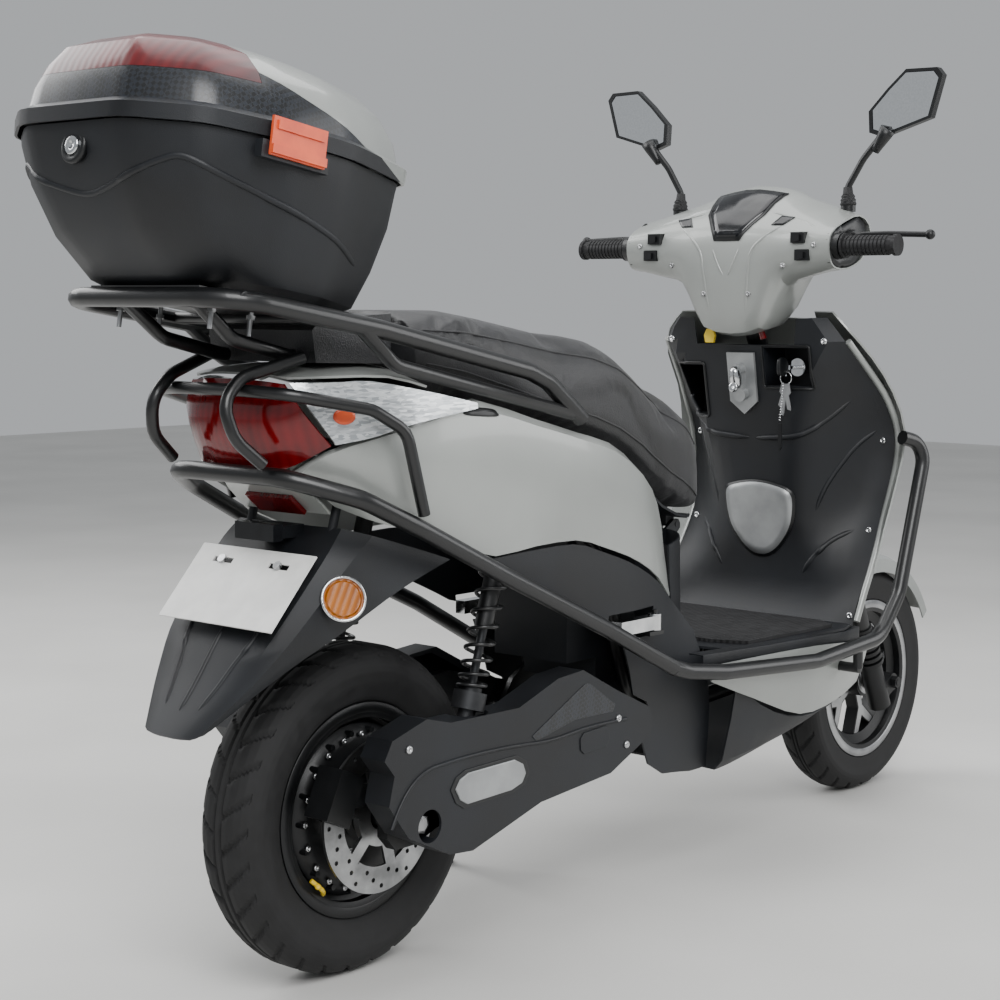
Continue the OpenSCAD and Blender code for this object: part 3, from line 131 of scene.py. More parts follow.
def tint(tree, skin, fac, low, high, start=0.35, end=0.65):
    ramp = addNode(tree, "ShaderNodeValToRGB", links={"Fac": fac})
    ramp.color_ramp.elements[0].color = linear(low)
    ramp.color_ramp.elements[1].color = linear(high)
    ramp.color_ramp.elements[0].position = start
    ramp.color_ramp.elements[1].position = end
    tree.links.new(ramp.outputs["Color"], skin.inputs["Base Color"])
    return ramp


def roughen(tree, skin, fac, low, high):
    spread = addNode(tree, "ShaderNodeMapRange", {"To Min": low, "To Max": high}, {"Value": fac})
    tree.links.new(spread.outputs["Result"], skin.inputs["Roughness"])


def emboss(tree, skin, height, depth, strength=1.0, under=None):
    links = {"Height": height}
    if under:
        links["Normal"] = under
    bump = addNode(tree, "ShaderNodeBump", {"Distance": depth, "Strength": strength}, links)
    tree.links.new(bump.outputs["Normal"], skin.inputs["Normal"])
    return bump.outputs["Normal"]


def greyGlossPaint(name="clearCoatedGreyPaintOnAbs"):  # sprayed ABS: fine flake, faint orange peel
    mat, tree, skin, place = newFinish(name, 0.32, 0.15, Coat_Weight=0.55, Coat_Roughness=0.08, IOR=1.5)
    flake = addNode(tree, "ShaderNodeTexNoise", {"Scale": 2200.0, "Detail": 2.0}, {"Vector": place})
    cloud = addNode(tree, "ShaderNodeTexNoise", {"Scale": 4.0, "Detail": 3.0}, {"Vector": place})
    blend = addNode(tree, "ShaderNodeMath", {"operation": "MULTIPLY_ADD", 1: 0.25},
                    {0: flake.outputs["Fac"], 2: cloud.outputs["Fac"]})
    tint(tree, skin, blend.outputs[0], "#8D908D", "#9C9F9C", 0.45, 0.85)
    roughen(tree, skin, cloud.outputs["Fac"], 0.28, 0.38)
    peel = addNode(tree, "ShaderNodeTexNoise", {"Scale": 260.0, "Detail": 1.0}, {"Vector": place})
    emboss(tree, skin, peel.outputs["Fac"], 0.0002, 0.25)
    return mat


def grainedMoulding(name, low, high, grain=900.0, rough=(0.42, 0.6), depth=0.0004):
    # moulded polypropylene: a spark-eroded grain of about 1 mm breaks the highlight
    mat, tree, skin, place = newFinish(name, 0.5, IOR=1.49)
    pits = addNode(tree, "ShaderNodeTexVoronoi", {"Scale": grain}, {"Vector": place})
    cloud = addNode(tree, "ShaderNodeTexNoise", {"Scale": 9.0, "Detail": 4.0}, {"Vector": place})
    tint(tree, skin, cloud.outputs["Fac"], low, high)
    roughen(tree, skin, cloud.outputs["Fac"], *rough)
    emboss(tree, skin, pits.outputs["Distance"], depth, 0.3)
    return mat


def powderCoat():  # baked powder on steel tube: satin, with a soft orange peel of about 2 mm
    mat, tree, skin, place = newFinish("satinBlackPowderCoatedSteel", 0.36, IOR=1.5, Coat_Weight=0.2)
    peel = addNode(tree, "ShaderNodeTexNoise", {"Scale": 500.0, "Detail": 2.0}, {"Vector": place})
    cloud = addNode(tree, "ShaderNodeTexNoise", {"Scale": 12.0, "Detail": 3.0}, {"Vector": place})
    tint(tree, skin, cloud.outputs["Fac"], "#060708", "#0E0F11")
    roughen(tree, skin, cloud.outputs["Fac"], 0.3, 0.46)
    emboss(tree, skin, peel.outputs["Fac"], 0.0003, 0.35)
    return mat


def castAlloy(name, low, high, metallic, rough):
    # sand-cast then painted or machined aluminium: fine pitting that catches the light unevenly
    mat, tree, skin, place = newFinish(name, rough, metallic)
    sand = addNode(tree, "ShaderNodeTexNoise", {"Scale": 1400.0, "Detail": 3.0}, {"Vector": place})
    cloud = addNode(tree, "ShaderNodeTexNoise", {"Scale": 18.0, "Detail": 4.0}, {"Vector": place})
    tint(tree, skin, cloud.outputs["Fac"], low, high)
    roughen(tree, skin, cloud.outputs["Fac"], rough - 0.06, rough + 0.1)
    emboss(tree, skin, sand.outputs["Fac"], 0.0002, 0.4)
    return mat


def turnedSteel(name="brushedStainlessSteel"):  # turned on a lathe: thin rings that smear the highlight
    mat, tree, skin, place = newFinish(name, 0.3, 1.0)
    rings = addNode(tree, "ShaderNodeTexNoise", {"Scale": 900.0, "Detail": 2.0}, {"Vector": place})
    stain = addNode(tree, "ShaderNodeTexNoise", {"Scale": 25.0, "Detail": 4.0}, {"Vector": place})
    tint(tree, skin, stain.outputs["Fac"], "#7E7F80", "#A9AAAB")
    roughen(tree, skin, rings.outputs["Fac"], 0.22, 0.42)
    emboss(tree, skin, rings.outputs["Fac"], 0.0001, 0.3)
    return mat


def chromePlate():  # electroplated nickel-chrome: near mirror, slightly hazy in patches
    mat, tree, skin, place = newFinish("polishedChromePlatedSteel", 0.1, 1.0)
    haze = addNode(tree, "ShaderNodeTexNoise", {"Scale": 40.0, "Detail": 4.0}, {"Vector": place})
    tint(tree, skin, haze.outputs["Fac"], "#C9CBCD", "#DEDFE0")
    roughen(tree, skin, haze.outputs["Fac"], 0.06, 0.2)
    return mat


def seatVinyl():  # calendered PVC leathercloth: pebbled grain near 2 mm, soft sheen
    mat, tree, skin, place = newFinish("pebbledBlackPvcLeathercloth", 0.45, IOR=1.52, Sheen_Weight=0.12)
    pebble = addNode(tree, "ShaderNodeTexVoronoi", {"Scale": 480.0, "Randomness": 0.9},
                     {"Vector": place})
    crease = addNode(tree, "ShaderNodeTexNoise", {"Scale": 16.0, "Detail": 5.0}, {"Vector": place})
    tint(tree, skin, crease.outputs["Fac"], "#07080A", "#101115")
    roughen(tree, skin, crease.outputs["Fac"], 0.36, 0.54)
    grain = emboss(tree, skin, pebble.outputs["Distance"], 0.0005, 0.7)
    emboss(tree, skin, crease.outputs["Fac"], 0.002, 0.25, grain)
    return mat


def tyreRubber():  # vulcanised rubber: dull, dusty in the hollows
    mat, tree, skin, place = newFinish("vulcanisedTyreRubber", 0.8, IOR=1.52)
    dust = addNode(tree, "ShaderNodeTexNoise", {"Scale": 60.0, "Detail": 6.0}, {"Vector": place})
    tint(tree, skin, dust.outputs["Fac"], "#0B0B0C", "#19191A")
    roughen(tree, skin, dust.outputs["Fac"], 0.66, 0.9)
    emboss(tree, skin, dust.outputs["Fac"], 0.0006, 0.4)
    return mat


def ribbedRubber(name, spacing, direction="X"):  # moulded EPDM with ribs at the real spacing
    mat, tree, skin, place = newFinish(name, 0.7, IOR=1.5)
    ribs = addNode(tree, "ShaderNodeTexWave", {"bands_direction": direction, "Scale": 0.314 / spacing,
                                               "Distortion": 0.0}, {"Vector": place})
    dust = addNode(tree, "ShaderNodeTexNoise", {"Scale": 45.0, "Detail": 5.0}, {"Vector": place})
    tint(tree, skin, dust.outputs["Fac"], "#0C0C0E", "#1A1A1C")
    roughen(tree, skin, dust.outputs["Fac"], 0.6, 0.82)
    emboss(tree, skin, ribs.outputs["Fac"], 0.0012, 0.8)
    return mat


def mouldedLens(name, low, high, transmission, rough, ribSpacing, reliefAndGlint=0.15, metal=0.0):
    # injection-moulded acrylic: clear gloss outside, prisms of a few mm inside; the colour stripes along
    # the prism ribs are painted glints over a random tone
    mat, tree, skin, place = newFinish(name, rough, metal, IOR=1.49, Transmission_Weight=transmission,
                                       Coat_Weight=0.12, Coat_Roughness=0.06)
    ribs = addNode(tree, "ShaderNodeTexWave", {"bands_direction": "Y", "Scale": 0.314 / ribSpacing},
                   {"Vector": place})
    tone = addNode(tree, "ShaderNodeTexNoise", {"Scale": 14.0, "Detail": 2.0}, {"Vector": place})
    # the prism ribs lighten the colour in stripes as painted glints, mixed with a random tone; the same
    # weight also sets the bump
    blend = addNode(tree, "ShaderNodeMath", {"operation": "MULTIPLY_ADD", 1: reliefAndGlint},
                    {0: ribs.outputs["Fac"], 2: tone.outputs["Fac"]})
    tint(tree, skin, blend.outputs[0], low, high, 0.35, 0.75 + reliefAndGlint)
    emboss(tree, skin, ribs.outputs["Fac"], 0.0008, reliefAndGlint)
    return mat


def facetedLens():  # clear acrylic over a metallised bowl: 7 mm facets, each tinted a random brightness as a painted glint
    mat, tree, skin, place = newFinish("clearAcrylicOverMetallisedBowl", 0.12, 0.45, Coat_Weight=0.6,
                                       Coat_Roughness=0.03, IOR=1.49)
    stretched = addNode(tree, "ShaderNodeMapping", {"Scale": (0.3, 1.0, 1.6)}, {"Vector": place})
    facets = addNode(tree, "ShaderNodeTexVoronoi", {"Scale": 240.0}, {"Vector": stretched.outputs[0]})
    split = addNode(tree, "ShaderNodeSeparateColor", links={"Color": facets.outputs["Color"]})
    # painted glints: each facet gets its own brightness in place of the light that facet of the bowl
    # reflects
    tint(tree, skin, split.outputs[0], "#A4A9AC", "#DDE0E1", 0.1, 0.9)
    roughen(tree, skin, split.outputs[1], 0.08, 0.25)
    emboss(tree, skin, split.outputs[2], 0.0015, 0.5)
    return mat


def mirrorGlass():  # silvered float glass: an almost perfect mirror with a trace of dust
    mat, tree, skin, place = newFinish("silveredFloatGlass", 0.03, 1.0)
    dust = addNode(tree, "ShaderNodeTexNoise", {"Scale": 300.0, "Detail": 3.0}, {"Vector": place})
    tint(tree, skin, dust.outputs["Fac"], "#D9DCDE", "#E4E6E8")
    roughen(tree, skin, dust.outputs["Fac"], 0.02, 0.06)
    return mat


def carbonFilm():  # printed 2x2 twill film under lacquer: 3 mm tows drawn at 5 mm so they show
    mat, tree, skin, place = newFinish("twillPrintedFilmUnderLacquer", 0.38, Coat_Weight=0.15,
                                       Coat_Roughness=0.2)
    turned = addNode(tree, "ShaderNodeMapping", {"Rotation": (0.6, 0.3, 0.785)}, {"Vector": place})
    colours = {"Scale": 200.0, "Color1": linear("#0A0C0F"), "Color2": linear("#1B1F26")}
    tows = addNode(tree, "ShaderNodeTexChecker", colours, {"Vector": turned.outputs[0]})
    tree.links.new(tows.outputs["Color"], skin.inputs["Base Color"])
    thread = addNode(tree, "ShaderNodeTexNoise", {"Scale": 700.0}, {"Vector": place})
    roughen(tree, skin, thread.outputs["Fac"], 0.24, 0.42)
    emboss(tree, skin, tows.outputs["Fac"], 0.0003, 0.4)
    return mat


def glossPlastic(name, low, high, rough=0.3):  # moulded ABS straight from a polished tool
    mat, tree, skin, place = newFinish(name, rough, IOR=1.53)
    tone = addNode(tree, "ShaderNodeTexNoise", {"Scale": 30.0, "Detail": 4.0}, {"Vector": place})
    tint(tree, skin, tone.outputs["Fac"], low, high)
    roughen(tree, skin, tone.outputs["Fac"], rough - 0.06, rough + 0.1)
    emboss(tree, skin, tone.outputs["Fac"], 0.0002, 0.3)
    return mat


finish = {
    "paint": greyGlossPaint(),
    "moulding": grainedMoulding("grainedBlackPolypropylene", "#0A0C10", "#13161B"),
    "smoothMoulding": grainedMoulding("fineGrainBlackAbs", "#08090B", "#0E1012", 1500.0,
                                      (0.32, 0.44), 0.0001),
    "steelTube": powderCoat(),
    "blackAlloy": castAlloy("blackPaintedCastAluminium", "#090A0B", "#121315", 0.2, 0.38),
    "darkAlloy": castAlloy("anodisedDarkAluminium", "#2C2D2F", "#414244", 0.7, 0.38),
    "silverAlloy": castAlloy("machinedCastAluminium", "#8F9092", "#B4B5B6", 0.9, 0.32),
    "silverPaint": castAlloy("silverPaintedZincCasting", "#8C8E8F", "#A2A4A5", 0.5, 0.36),
    "steel": turnedSteel(),
    "chrome": chromePlate(),
    "zinc": castAlloy("zincPlatedSteel", "#9A9B9C", "#C4C5C6", 1.0, 0.28),
    "vinyl": seatVinyl(),
    "tyre": tyreRubber(),
    "mat": ribbedRubber("ribbedEpdmFloorMat", 0.009, "Y"),
    "grip": ribbedRubber("MouldedNitrileGrip", 0.004, "X"),
    "redLens": mouldedLens("redMouldedAcrylic", "#4A0206", "#80090F", 0.1, 0.12, 0.012, 0.1),
    "wrapLens": mouldedLens("redRibbedAcrylic", "#38020A", "#64060C", 0.0, 0.3, 0.012, 0.16),
    "clearLens": facetedLens(),
    "lampGlass": mouldedLens("clearPolycarbonateLens", "#E4E8EA", "#FFFFFF", 0.9, 0.05, 0.02),
    "amberLens": mouldedLens("amberPrismAcrylic", "#7A3E02", "#B5690A", 0.0, 0.26, 0.005, 0.18),
    "mirrorGlass": mirrorGlass(),
    "carbon": carbonFilm(),
    "orange": glossPlastic("orangeMouldedAbs", "#C8431D", "#E0592A", 0.36),
    "white": glossPlastic("whiteEnamelledSheet", "#D9D9D6", "#E8E8E5", 0.34),
    "yellow": glossPlastic("yellowMouldedNylon", "#D9B51E", "#EACB3A", 0.4),
    "display": glossPlastic("smokedAcrylicWindow", "#0B0C0F", "#121418", 0.12),
}
print("finishes made")

nodeFinish = {
    "frame": "steelTube", "battery_box": "moulding", "floor_panel": "moulding", "floor_mat": "mat",
    "floor_fairings": "paint", "belly_pan": "moulding", "leg_shield": "moulding",
    "front_cowl": "paint", "headlamp": "lampGlass", "hook_plate": "silverPaint",
    "ignition_lock": "chrome", "skirts": "moulding", "front_panel": "moulding",
    "tail_cover": "paint", "tail_lens": "redLens", "clear_lenses": "clearLens",
    "mudguard": "moulding", "number_plate": "white", "reflectors": "amberLens",
    "tail_bolster": "vinyl", "rack": "steelTube", "crash_bar": "steelTube",
    "guard_bars": "steelTube", "case_shell": "moulding", "fasteners": "zinc", "case_lid": "carbon",
    "lid_cap": "paint", "lid_lens": "wrapLens", "seat_cushion": "vinyl", "seat_pan": "moulding",
    "swingarm": "blackAlloy", "arm_covers": "moulding", "rear_caliper": "blackAlloy",
    "rear_tyre": "tyre", "hub_motor": "blackAlloy", "rear_disc": "steel",
    "shock_bodies": "steelTube", "shock_rods": "darkAlloy", "shock_springs": "steelTube",
    "front_tyre": "tyre", "front_rim": "blackAlloy", "fork_lowers": "blackAlloy",
    "front_fender": "paint", "steering_stem": "steelTube", "handlebar": "steelTube",
    "headset_cover": "paint", "switch_pods": "smoothMoulding", "throttle_grip": "grip",
    "left_grip": "grip", "side_stand": "steelTube",
}
pairFinish = {"side_panel": "paint", "latch": "orange", "brake_lever": "blackAlloy",
              "mirror": "smoothMoulding", "foot_peg": "chrome"}
for side, tag in sides:
    nodeFinish.update({f"{pair}_{tag}": key for pair, key in pairFinish.items()})


def dressNode(name, key):
    obj = nodes[name]
    obj.data.materials.clear()
    obj.data.materials.append(finish[key])
    for face in obj.data.polygons:
        face.use_smooth = True
    if "custom_normal" in obj.data.attributes:
        obj.data.attributes.remove(obj.data.attributes["custom_normal"])
    weld = obj.modifiers.new("weld", "WELD")
    weld.merge_threshold = 0.00002
    splitEdges(obj, 65 if key == "steelTube" else 30)  # tubes stay round


for nodeName, key in nodeFinish.items():
    dressNode(nodeName, key)


def paintFaces(name, key, chosen):  # a second finish on some faces of a frame node
    mesh = nodes[name].data
    mesh.materials.append(finish[key])
    for face in mesh.polygons:
        if chosen(face.center):
            face.material_index = len(mesh.materials) - 1


def caseHeight(v):
    away = v - at(*caseFloor)
    return (math.sin(caseTilt) * away.x + math.cos(caseTilt) * away.z) * 1000


paintFaces("case_lid", "moulding", lambda v: caseHeight(v) < 184)  # only the band above is printed
paintFaces("clear_lenses", "display", lambda v: v.z < 0.66)  # the plate lamp is smoked
print("frame finishes assigned")

chassisMoulding = ("moulding", "chassis", "black_plastic")  # finish, body and slot
chassisTrim = ("smoothMoulding", "chassis", "black_plastic")
chassisChrome = ("chrome", "chassis", "chrome")
steeringTrim = ("smoothMoulding", "steering", "black_plastic")


def settle(obj, key, body, slotName):
    obj.data.materials.append(finish[key])
    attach(obj, body)
    return obj


def newMesh(name, points, faces, smooth=True):
    data = bpy.data.meshes.new(name)
    data.from_pydata([tuple(v) for v in points], [], faces)
    data.validate()
    bm = bmesh.new()
    bm.from_mesh(data)
    bmesh.ops.recalc_face_normals(bm, faces=bm.faces)
    bm.to_mesh(data)
    bm.free()
    for face in data.polygons:
        face.use_smooth = smooth
    return addObject(name, data)


def addPiece(name, shape, key, body, slotName, smooth=True):  # shape is its points and faces
    return settle(newMesh(name, *shape, smooth=smooth), key, body, slotName)


def soften(obj, width):
    bevel = obj.modifiers.new("softEdges", "BEVEL")
    bevel.width = width
    bevel.segments = 2
    bevel.limit_method = "ANGLE"
    bevel.angle_limit = math.radians(35)
    splitEdges(obj, 35)


def thicken(obj, thickness, offset=-1):
    solid = obj.modifiers.new("thickness", "SOLIDIFY")
    solid.thickness = thickness
    solid.offset = offset


def turnSteps(count):  # the angles of evenly spaced places on a circle
    return [2 * math.pi * k / count for k in range(count)]


def wrapFaces(steps, rows):  # a grid of points that closes both ways
    return [[i * rows + j, (i + 1) % steps * rows + j, (i + 1) % steps * rows + (j + 1) % rows,
             i * rows + (j + 1) % rows] for i in range(steps) for j in range(rows)]


def bandFaces(rings, count):  # closed rings of points, one after another
    return [[r * count + k, r * count + (k + 1) % count, (r + 1) * count + (k + 1) % count,
             (r + 1) * count + k] for r in range(rings - 1) for k in range(count)]


def sideways(side=1):  # stands a flat outline up, facing left or right
    return Matrix(((1, 0, 0), (0, 0, side), (0, 1, 0)))


def ahead(side=1):  # stands a flat outline up, facing forward
    return Matrix(((0, 0, 1), (side, 0, 0), (0, 1, 0)))


def prism(outline, thickness, place, turn):  # outline in metres, extruded along local Z
    count = len(outline)
    points = [Vector((x, y, z)) for z in (0, thickness) for x, y in outline]
    faces = [list(range(count - 1, -1, -1)), list(range(count, 2 * count))]
    faces += [[i, (i + 1) % count, count + (i + 1) % count, count + i] for i in range(count)]
    return [place + turn @ v for v in points], faces


def lathe(profile, centre, axis, steps):  # profile of (distance along the axis, radius)
    axis = Vector(axis).normalized()
    side = axis.orthogonal().normalized()
    other = axis.cross(side)
    points = [centre + axis * a + (side * math.cos(t) + other * math.sin(t)) * r
              for t in turnSteps(steps) for a, r in profile]
    return points, wrapFaces(steps, len(profile))


def joined(parts):
    points, faces = [], []
    for partPoints, partFaces in parts:
        base = len(points)
        points += partPoints
        faces += [[base + i for i in face] for face in partFaces]
    return points, faces


def bothFaces(profile, centre, steps):  # the same turned shape on each face of a wheel
    return joined([lathe([(side * a, r) for a, r in profile], centre, (0, 1, 0), steps)
                   for side in (1, -1)])


def tubeCurve(name, points, radius, closed=False):
    data = bpy.data.curves.new(name, "CURVE")
    data.dimensions = "3D"
    data.bevel_depth = radius
    data.bevel_resolution = 3
    data.use_fill_caps = True
    line = data.splines.new("POLY" if len(points) < 3 else "NURBS")
    line.points.add(len(points) - 1)
    for spot, v in zip(line.points, points):
        spot.co = (*v, 1)
    line.use_cyclic_u = closed
    if len(points) > 2:
        line.order_u = 3
        line.use_endpoint_u = not closed
    return addObject(name, data)


def domeScrew(place, axis, radius):  # pan head with a round socket
    head = [(-0.0005, 0), (-0.0005, radius), (radius * 0.35, radius), (radius * 0.6, radius * 0.72),
            (radius * 0.6, radius * 0.4), (radius * 0.2, radius * 0.38), (radius * 0.2, 0)]
    return lathe(head, place, axis, 18)


def treeOf(mesh):
    return BVHTree.FromPolygons([v.co for v in mesh.vertices],
                                [list(p.vertices) for p in mesh.polygons])


surfaces = {}


def surfaceOf(nodeName):
    if nodeName not in surfaces:
        surfaces[nodeName] = treeOf(nodes[nodeName].data)
    return surfaces[nodeName]


def drop(nodeName, point, direction, lift):
    direction = Vector(direction).normalized()
    hit = surfaceOf(nodeName).ray_cast(point - direction * 0.12, direction)
    if hit[0] is None:
        hit = surfaceOf(nodeName).find_nearest(point)
    return hit[0] - direction * lift


def laidPatch(name, nodeName, outline, direction, lift, thickness, rings=5):
    # a thin plate that follows the surface under it: the outline is filled towards its middle
    middle = sum(outline, Vector()) / len(outline)
    count = len(outline)
    points = []
    for k in range(rings):
        share = 1 - k / rings
        points += [drop(nodeName, middle + (v - middle) * share, direction, lift) for v in outline]
    points.append(drop(nodeName, middle, direction, lift))
    last = (rings - 1) * count
    faces = bandFaces(rings, count)
    faces += [[last + i, last + (i + 1) % count, len(points) - 1] for i in range(count)]
    obj = newMesh(name, points, faces)
    thicken(obj, thickness, 0)
    return obj


def straightOutline(points, perSide=5):
    count = len(points)
    return [points[i] + (points[(i + 1) % count] - points[i]) * (k / perSide)
            for i in range(count) for k in range(perSide)]


def curveBetween(a, b, c, d, steps):  # the smooth stretch from b to c
    return [0.5 * (2 * b + (c - a) * t + (2 * a - 5 * b + 4 * c - d) * t * t
                   + (3 * b - a - 3 * c + d) * t ** 3) for t in [k / steps for k in range(steps)]]


def smoothOutline(points, perSide):
    count = len(points)
    return [v for i in range(count)
            for v in curveBetween(*(points[(i + k - 1) % count] for k in range(4)), perSide)]


def denseRow(row, steps):
    made = []
    for a, b in zip(row, row[1:]):
        made += [tuple(p + (q - p) * k / steps for p, q in zip(a, b)) for k in range(steps)]
    return made + [row[-1]]


def ridge(name, nodeName, spots, radius, look, sink, mirrored=True):
    # a moulded crease: a thin bead half sunk in the surface under it
    for side, tag in sides if mirrored else ((1, ""),):
        path = [Vector((v.x, v.y * side, v.z)) for v in spots]
        end = len(path) - 1
        dense = []
        for i in range(end):
            dense += curveBetween(*(path[min(max(i + k, 0), end)] for k in (-1, 0, 1, 2)), 6)
        laid = []
        for v in dense + [path[end]]:
            spot, normal, _, _ = surfaceOf(nodeName).find_nearest(v)
            outside = normal.dot(v - spot) >= 0 or (v - spot).length < 0.003
            laid.append(spot - (normal if outside else -normal) * radius * sink)
        bead = tubeCurve(f"{name}_{tag}" if tag else name, laid, radius)
        for i, spot in enumerate(bead.data.splines[0].points):  # the ends fade out
            spot.radius = min(1.0, 0.15 + i / 4, 0.15 + (len(laid) - 1 - i) / 4)
        settle(bead, *look)


tyres = {
    "rear": {"x": 0, "radius": 222, "half": 49, "body": "rear_wheel", "node": "rear_tyre",
             "slashes": 30},
    "front": {"x": 1325, "radius": 208, "half": 42, "body": "front_wheel", "node": "front_tyre",
              "slashes": 28},
}
tread = {"depth": 4, "slashHalf": 0.1, "slashFrom": 0.16, "slashTo": 0.9, "groove": 0.1,
         "grooveHalf": 0.035}
rimLip = 145


def wheelCentre(spec):
    return at(spec["x"], 0, spec["radius"])


def treadDepth(share, turn, slashes):  # share runs from -1 to 1 over the crown
    away = abs(share)
    curve = turn * slashes / (2 * math.pi) + 0.9 * away ** 1.3 + (0.5 if share > 0 else 0)
    line = abs((curve % 1) - 0.5)
    slanted = tread["slashFrom"] < away < tread["slashTo"]
    slash = max(0.0, 1 - (line / tread["slashHalf"]) ** 4) if slanted else 0
    ring = 1.0 if abs(away - tread["groove"]) < tread["grooveHalf"] else 0
    return tread["depth"] * max(slash, ring)


def makeTyre(spec):
    r, half = spec["radius"], spec["half"]
    gap = r - rimLip
    wall = [(33.4, rimLip + 0.5), (36.9, rimLip + 3), (half - 3, rimLip + 0.35 * gap),
            (half, rimLip + 0.55 * gap), (half - 1, rimLip + 0.66 * gap), (half - 4, r - 0.25 * gap)]
    crown = [(half - 8, r - 0.17 * gap), (half - 13, r - 0.1 * gap), (half - 22, r - 2.5),
             (half - 31, r)]
    outer = wall + crown
    across = []
    for i, (a, b) in enumerate(zip(outer, outer[1:])):
        across += denseRow([a, b], 4 if i < 5 else 6)[:-1]
    across += [(outer[-1][0] * (1 - k / 6), r) for k in range(6)]
    full = across + [(0, r)] + [(-y, q) for y, q in reversed(across)]
    inner = [(-24, rimLip - 12), (-30, rimLip + 22), (0, r - 16), (30, rimLip + 22),
             (24, rimLip - 12)]
    profile = full + inner
    steps = 360
    centre = wheelCentre(spec)
    points = []
    for turn in turnSteps(steps):
        for j, (y, q) in enumerate(profile):
            if j < len(full) and q > r - 0.26 * gap:
                q -= treadDepth(y / (half - 2), turn, spec["slashes"])
            points.append(centre + Vector((math.cos(turn) * q, y, math.sin(turn) * q)) / 1000)
    obj = newMesh(spec["node"] + "_treaded", points, wrapFaces(steps, len(profile)))
    splitEdges(obj, 35)
    settle(obj, "tyre", spec["body"], "tyre")
    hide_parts(spec["node"])


for spec in tyres.values():
    makeTyre(spec)
print("tyres made")

rimEdge = [(0.0361, 0.1305), (0.0372, 0.1315), (0.0369, 0.1445), (0.0362, 0.1453),
           (0.0352, 0.1453), (0.0355, 0.131)]
frontRim = {"spokes": 5, "face": 12.1, "lift": 0.6,
            "cap": [(0.034, 0), (0.034, 0.03), (0.0365, 0.0285), (0.038, 0.022), (0.038, 0)],
            "outline": [(28, -8), (62, -6), (108, -38), (113, -31), (110, -24), (80, 0),
                        (110, 24), (113, 31), (108, 38), (62, 6), (28, 8)]}
hub = wheelCentre(tyres["front"])
spokeFaces = []
for start in (frontRim["face"], -frontRim["face"] - frontRim["lift"]):
    points, faces = prism([(x / 1000, z / 1000) for x, z in frontRim["outline"]],
                          frontRim["lift"] / 1000, Vector((0, start / 1000, 0)), sideways())
    for angle in turnSteps(frontRim["spokes"]):
        spin = Matrix.Rotation(angle, 3, "Y")
        spokeFaces.append(([hub + spin @ v for v in points], faces))
frontSilver = ("silverAlloy", "front_wheel", "steel")
addPiece("front_spoke_faces", joined(spokeFaces), *frontSilver, smooth=False)
addPiece("front_rim_edges", bothFaces(rimEdge, hub, 128), *frontSilver)
addPiece("front_hub_faces", bothFaces(frontRim["cap"], hub, 48), *frontSilver)

motorScrews = {"outer": {"count": 20, "ring": 0.104, "out": 0.0372, "radius": 0.0042},
               "inner": {"count": 6, "ring": 0.056, "out": 0.0425, "radius": 0.0048}}
valve = {"stem": [(-66, -30, 120), (-78, -46, 128), (-90, -50, 139), (-100, -44, 149)],
         "cap": [(0, 0), (0, 0.0042), (0.009, 0.004), (0.011, 0.002), (0.011, 0)]}
axle = wheelCentre(tyres["rear"])
screws = [domeScrew(axle + Vector((s["ring"] * math.cos(t), side * s["out"], s["ring"] * math.sin(t))),
                    (0, side, 0), s["radius"])
          for side in (1, -1) for s in motorScrews.values() for t in turnSteps(s["count"])]
addPiece("motor_screws", joined(screws), "zinc", "rear_wheel", "zinc")
addPiece("rear_rim_edges", bothFaces(rimEdge, axle, 128), "blackAlloy", "rear_wheel", "alloy_black")
settle(tubeCurve("valve_stem", [at(*spot) for spot in valve["stem"]], 0.0032),
       "yellow", "rear_wheel", "amber_lens")
addPiece("valve_cap", lathe(valve["cap"], at(-89, -46.5, 138.6), (-0.7, -0.6, 0.3), 16),
         "yellow", "rear_wheel", "amber_lens")

armCover = {
    "face": 162, "bolts": ((400, 300), (-40, 330), (420, 258)), "middle": (118, 260),
    "insert": [(47, 262), (56, 246), (70, 238), (160, 240), (182, 246), (190, 258), (184, 272),
               (166, 281), (72, 280), (56, 274)],
    "panel": [(312, 268), (320, 261), (370, 263), (378, 271), (377, 286), (369, 294), (319, 292),
              (311, 284)],
    "grid": [(205, 306), (322, 362), (334, 360), (392, 322), (386, 312), (300, 314), (214, 298)],
    "crease": [(-72, 232), (-40, 296), (60, 302), (160, 300), (250, 292), (330, 300), (420, 296)],
}


def armPlate(name, shape, side, depth, key, slotName, width):
    outline = [(x / 1000 - midX, z / 1000) for x, z in shape]
    place = Vector((0, armCover["face"] / 1000 * side, 0))
    plate = newMesh(name, *prism(outline, depth, place, sideways(side)), smooth=False)
    soften(plate, width)
    settle(plate, key, "arm", slotName)


for side, tag in reversed(sides):
    x0, z0 = armCover["middle"]
    surround = [(x0 + (x - x0) * 1.12, z0 + (z - z0) * 1.22) for x, z in armCover["insert"]]
    armPlate(f"arm_insert_seat_{tag}", surround, side, 0.0014, "smoothMoulding", "black_plastic",
             0.0006)
    armPlate(f"arm_insert_{tag}", armCover["insert"], side, 0.0032, "silverPaint", "silver_paint",
             0.0012)
    armPlate(f"arm_panel_{tag}", armCover["panel"], side, 0.0018, "moulding", "black_plastic", 0.0007)
    armPlate(f"arm_grid_{tag}", armCover["grid"], side, 0.001, "carbon", "black_plastic", 0.0004)
    bolts = [domeScrew(at(x, armCover["face"] * side, z), (0, side, 0), 0.0055)
             for x, z in armCover["bolts"]]
    addPiece(f"arm_bolts_{tag}", joined(bolts), "zinc", "arm", "zinc")
    crease = [at(x, (armCover["face"] + 0.2) * side, z) for x, z in armCover["crease"]]
    settle(tubeCurve(f"arm_crease_{tag}", crease, 0.0026), "moulding", "arm", "black_plastic")

spring = {"turns": 8, "radius": 18.9, "wire": 2.7, "low": 52.6, "high": 229.6, "travel": 37.4}
shockAxis = Vector((84, 0, 276)).normalized()


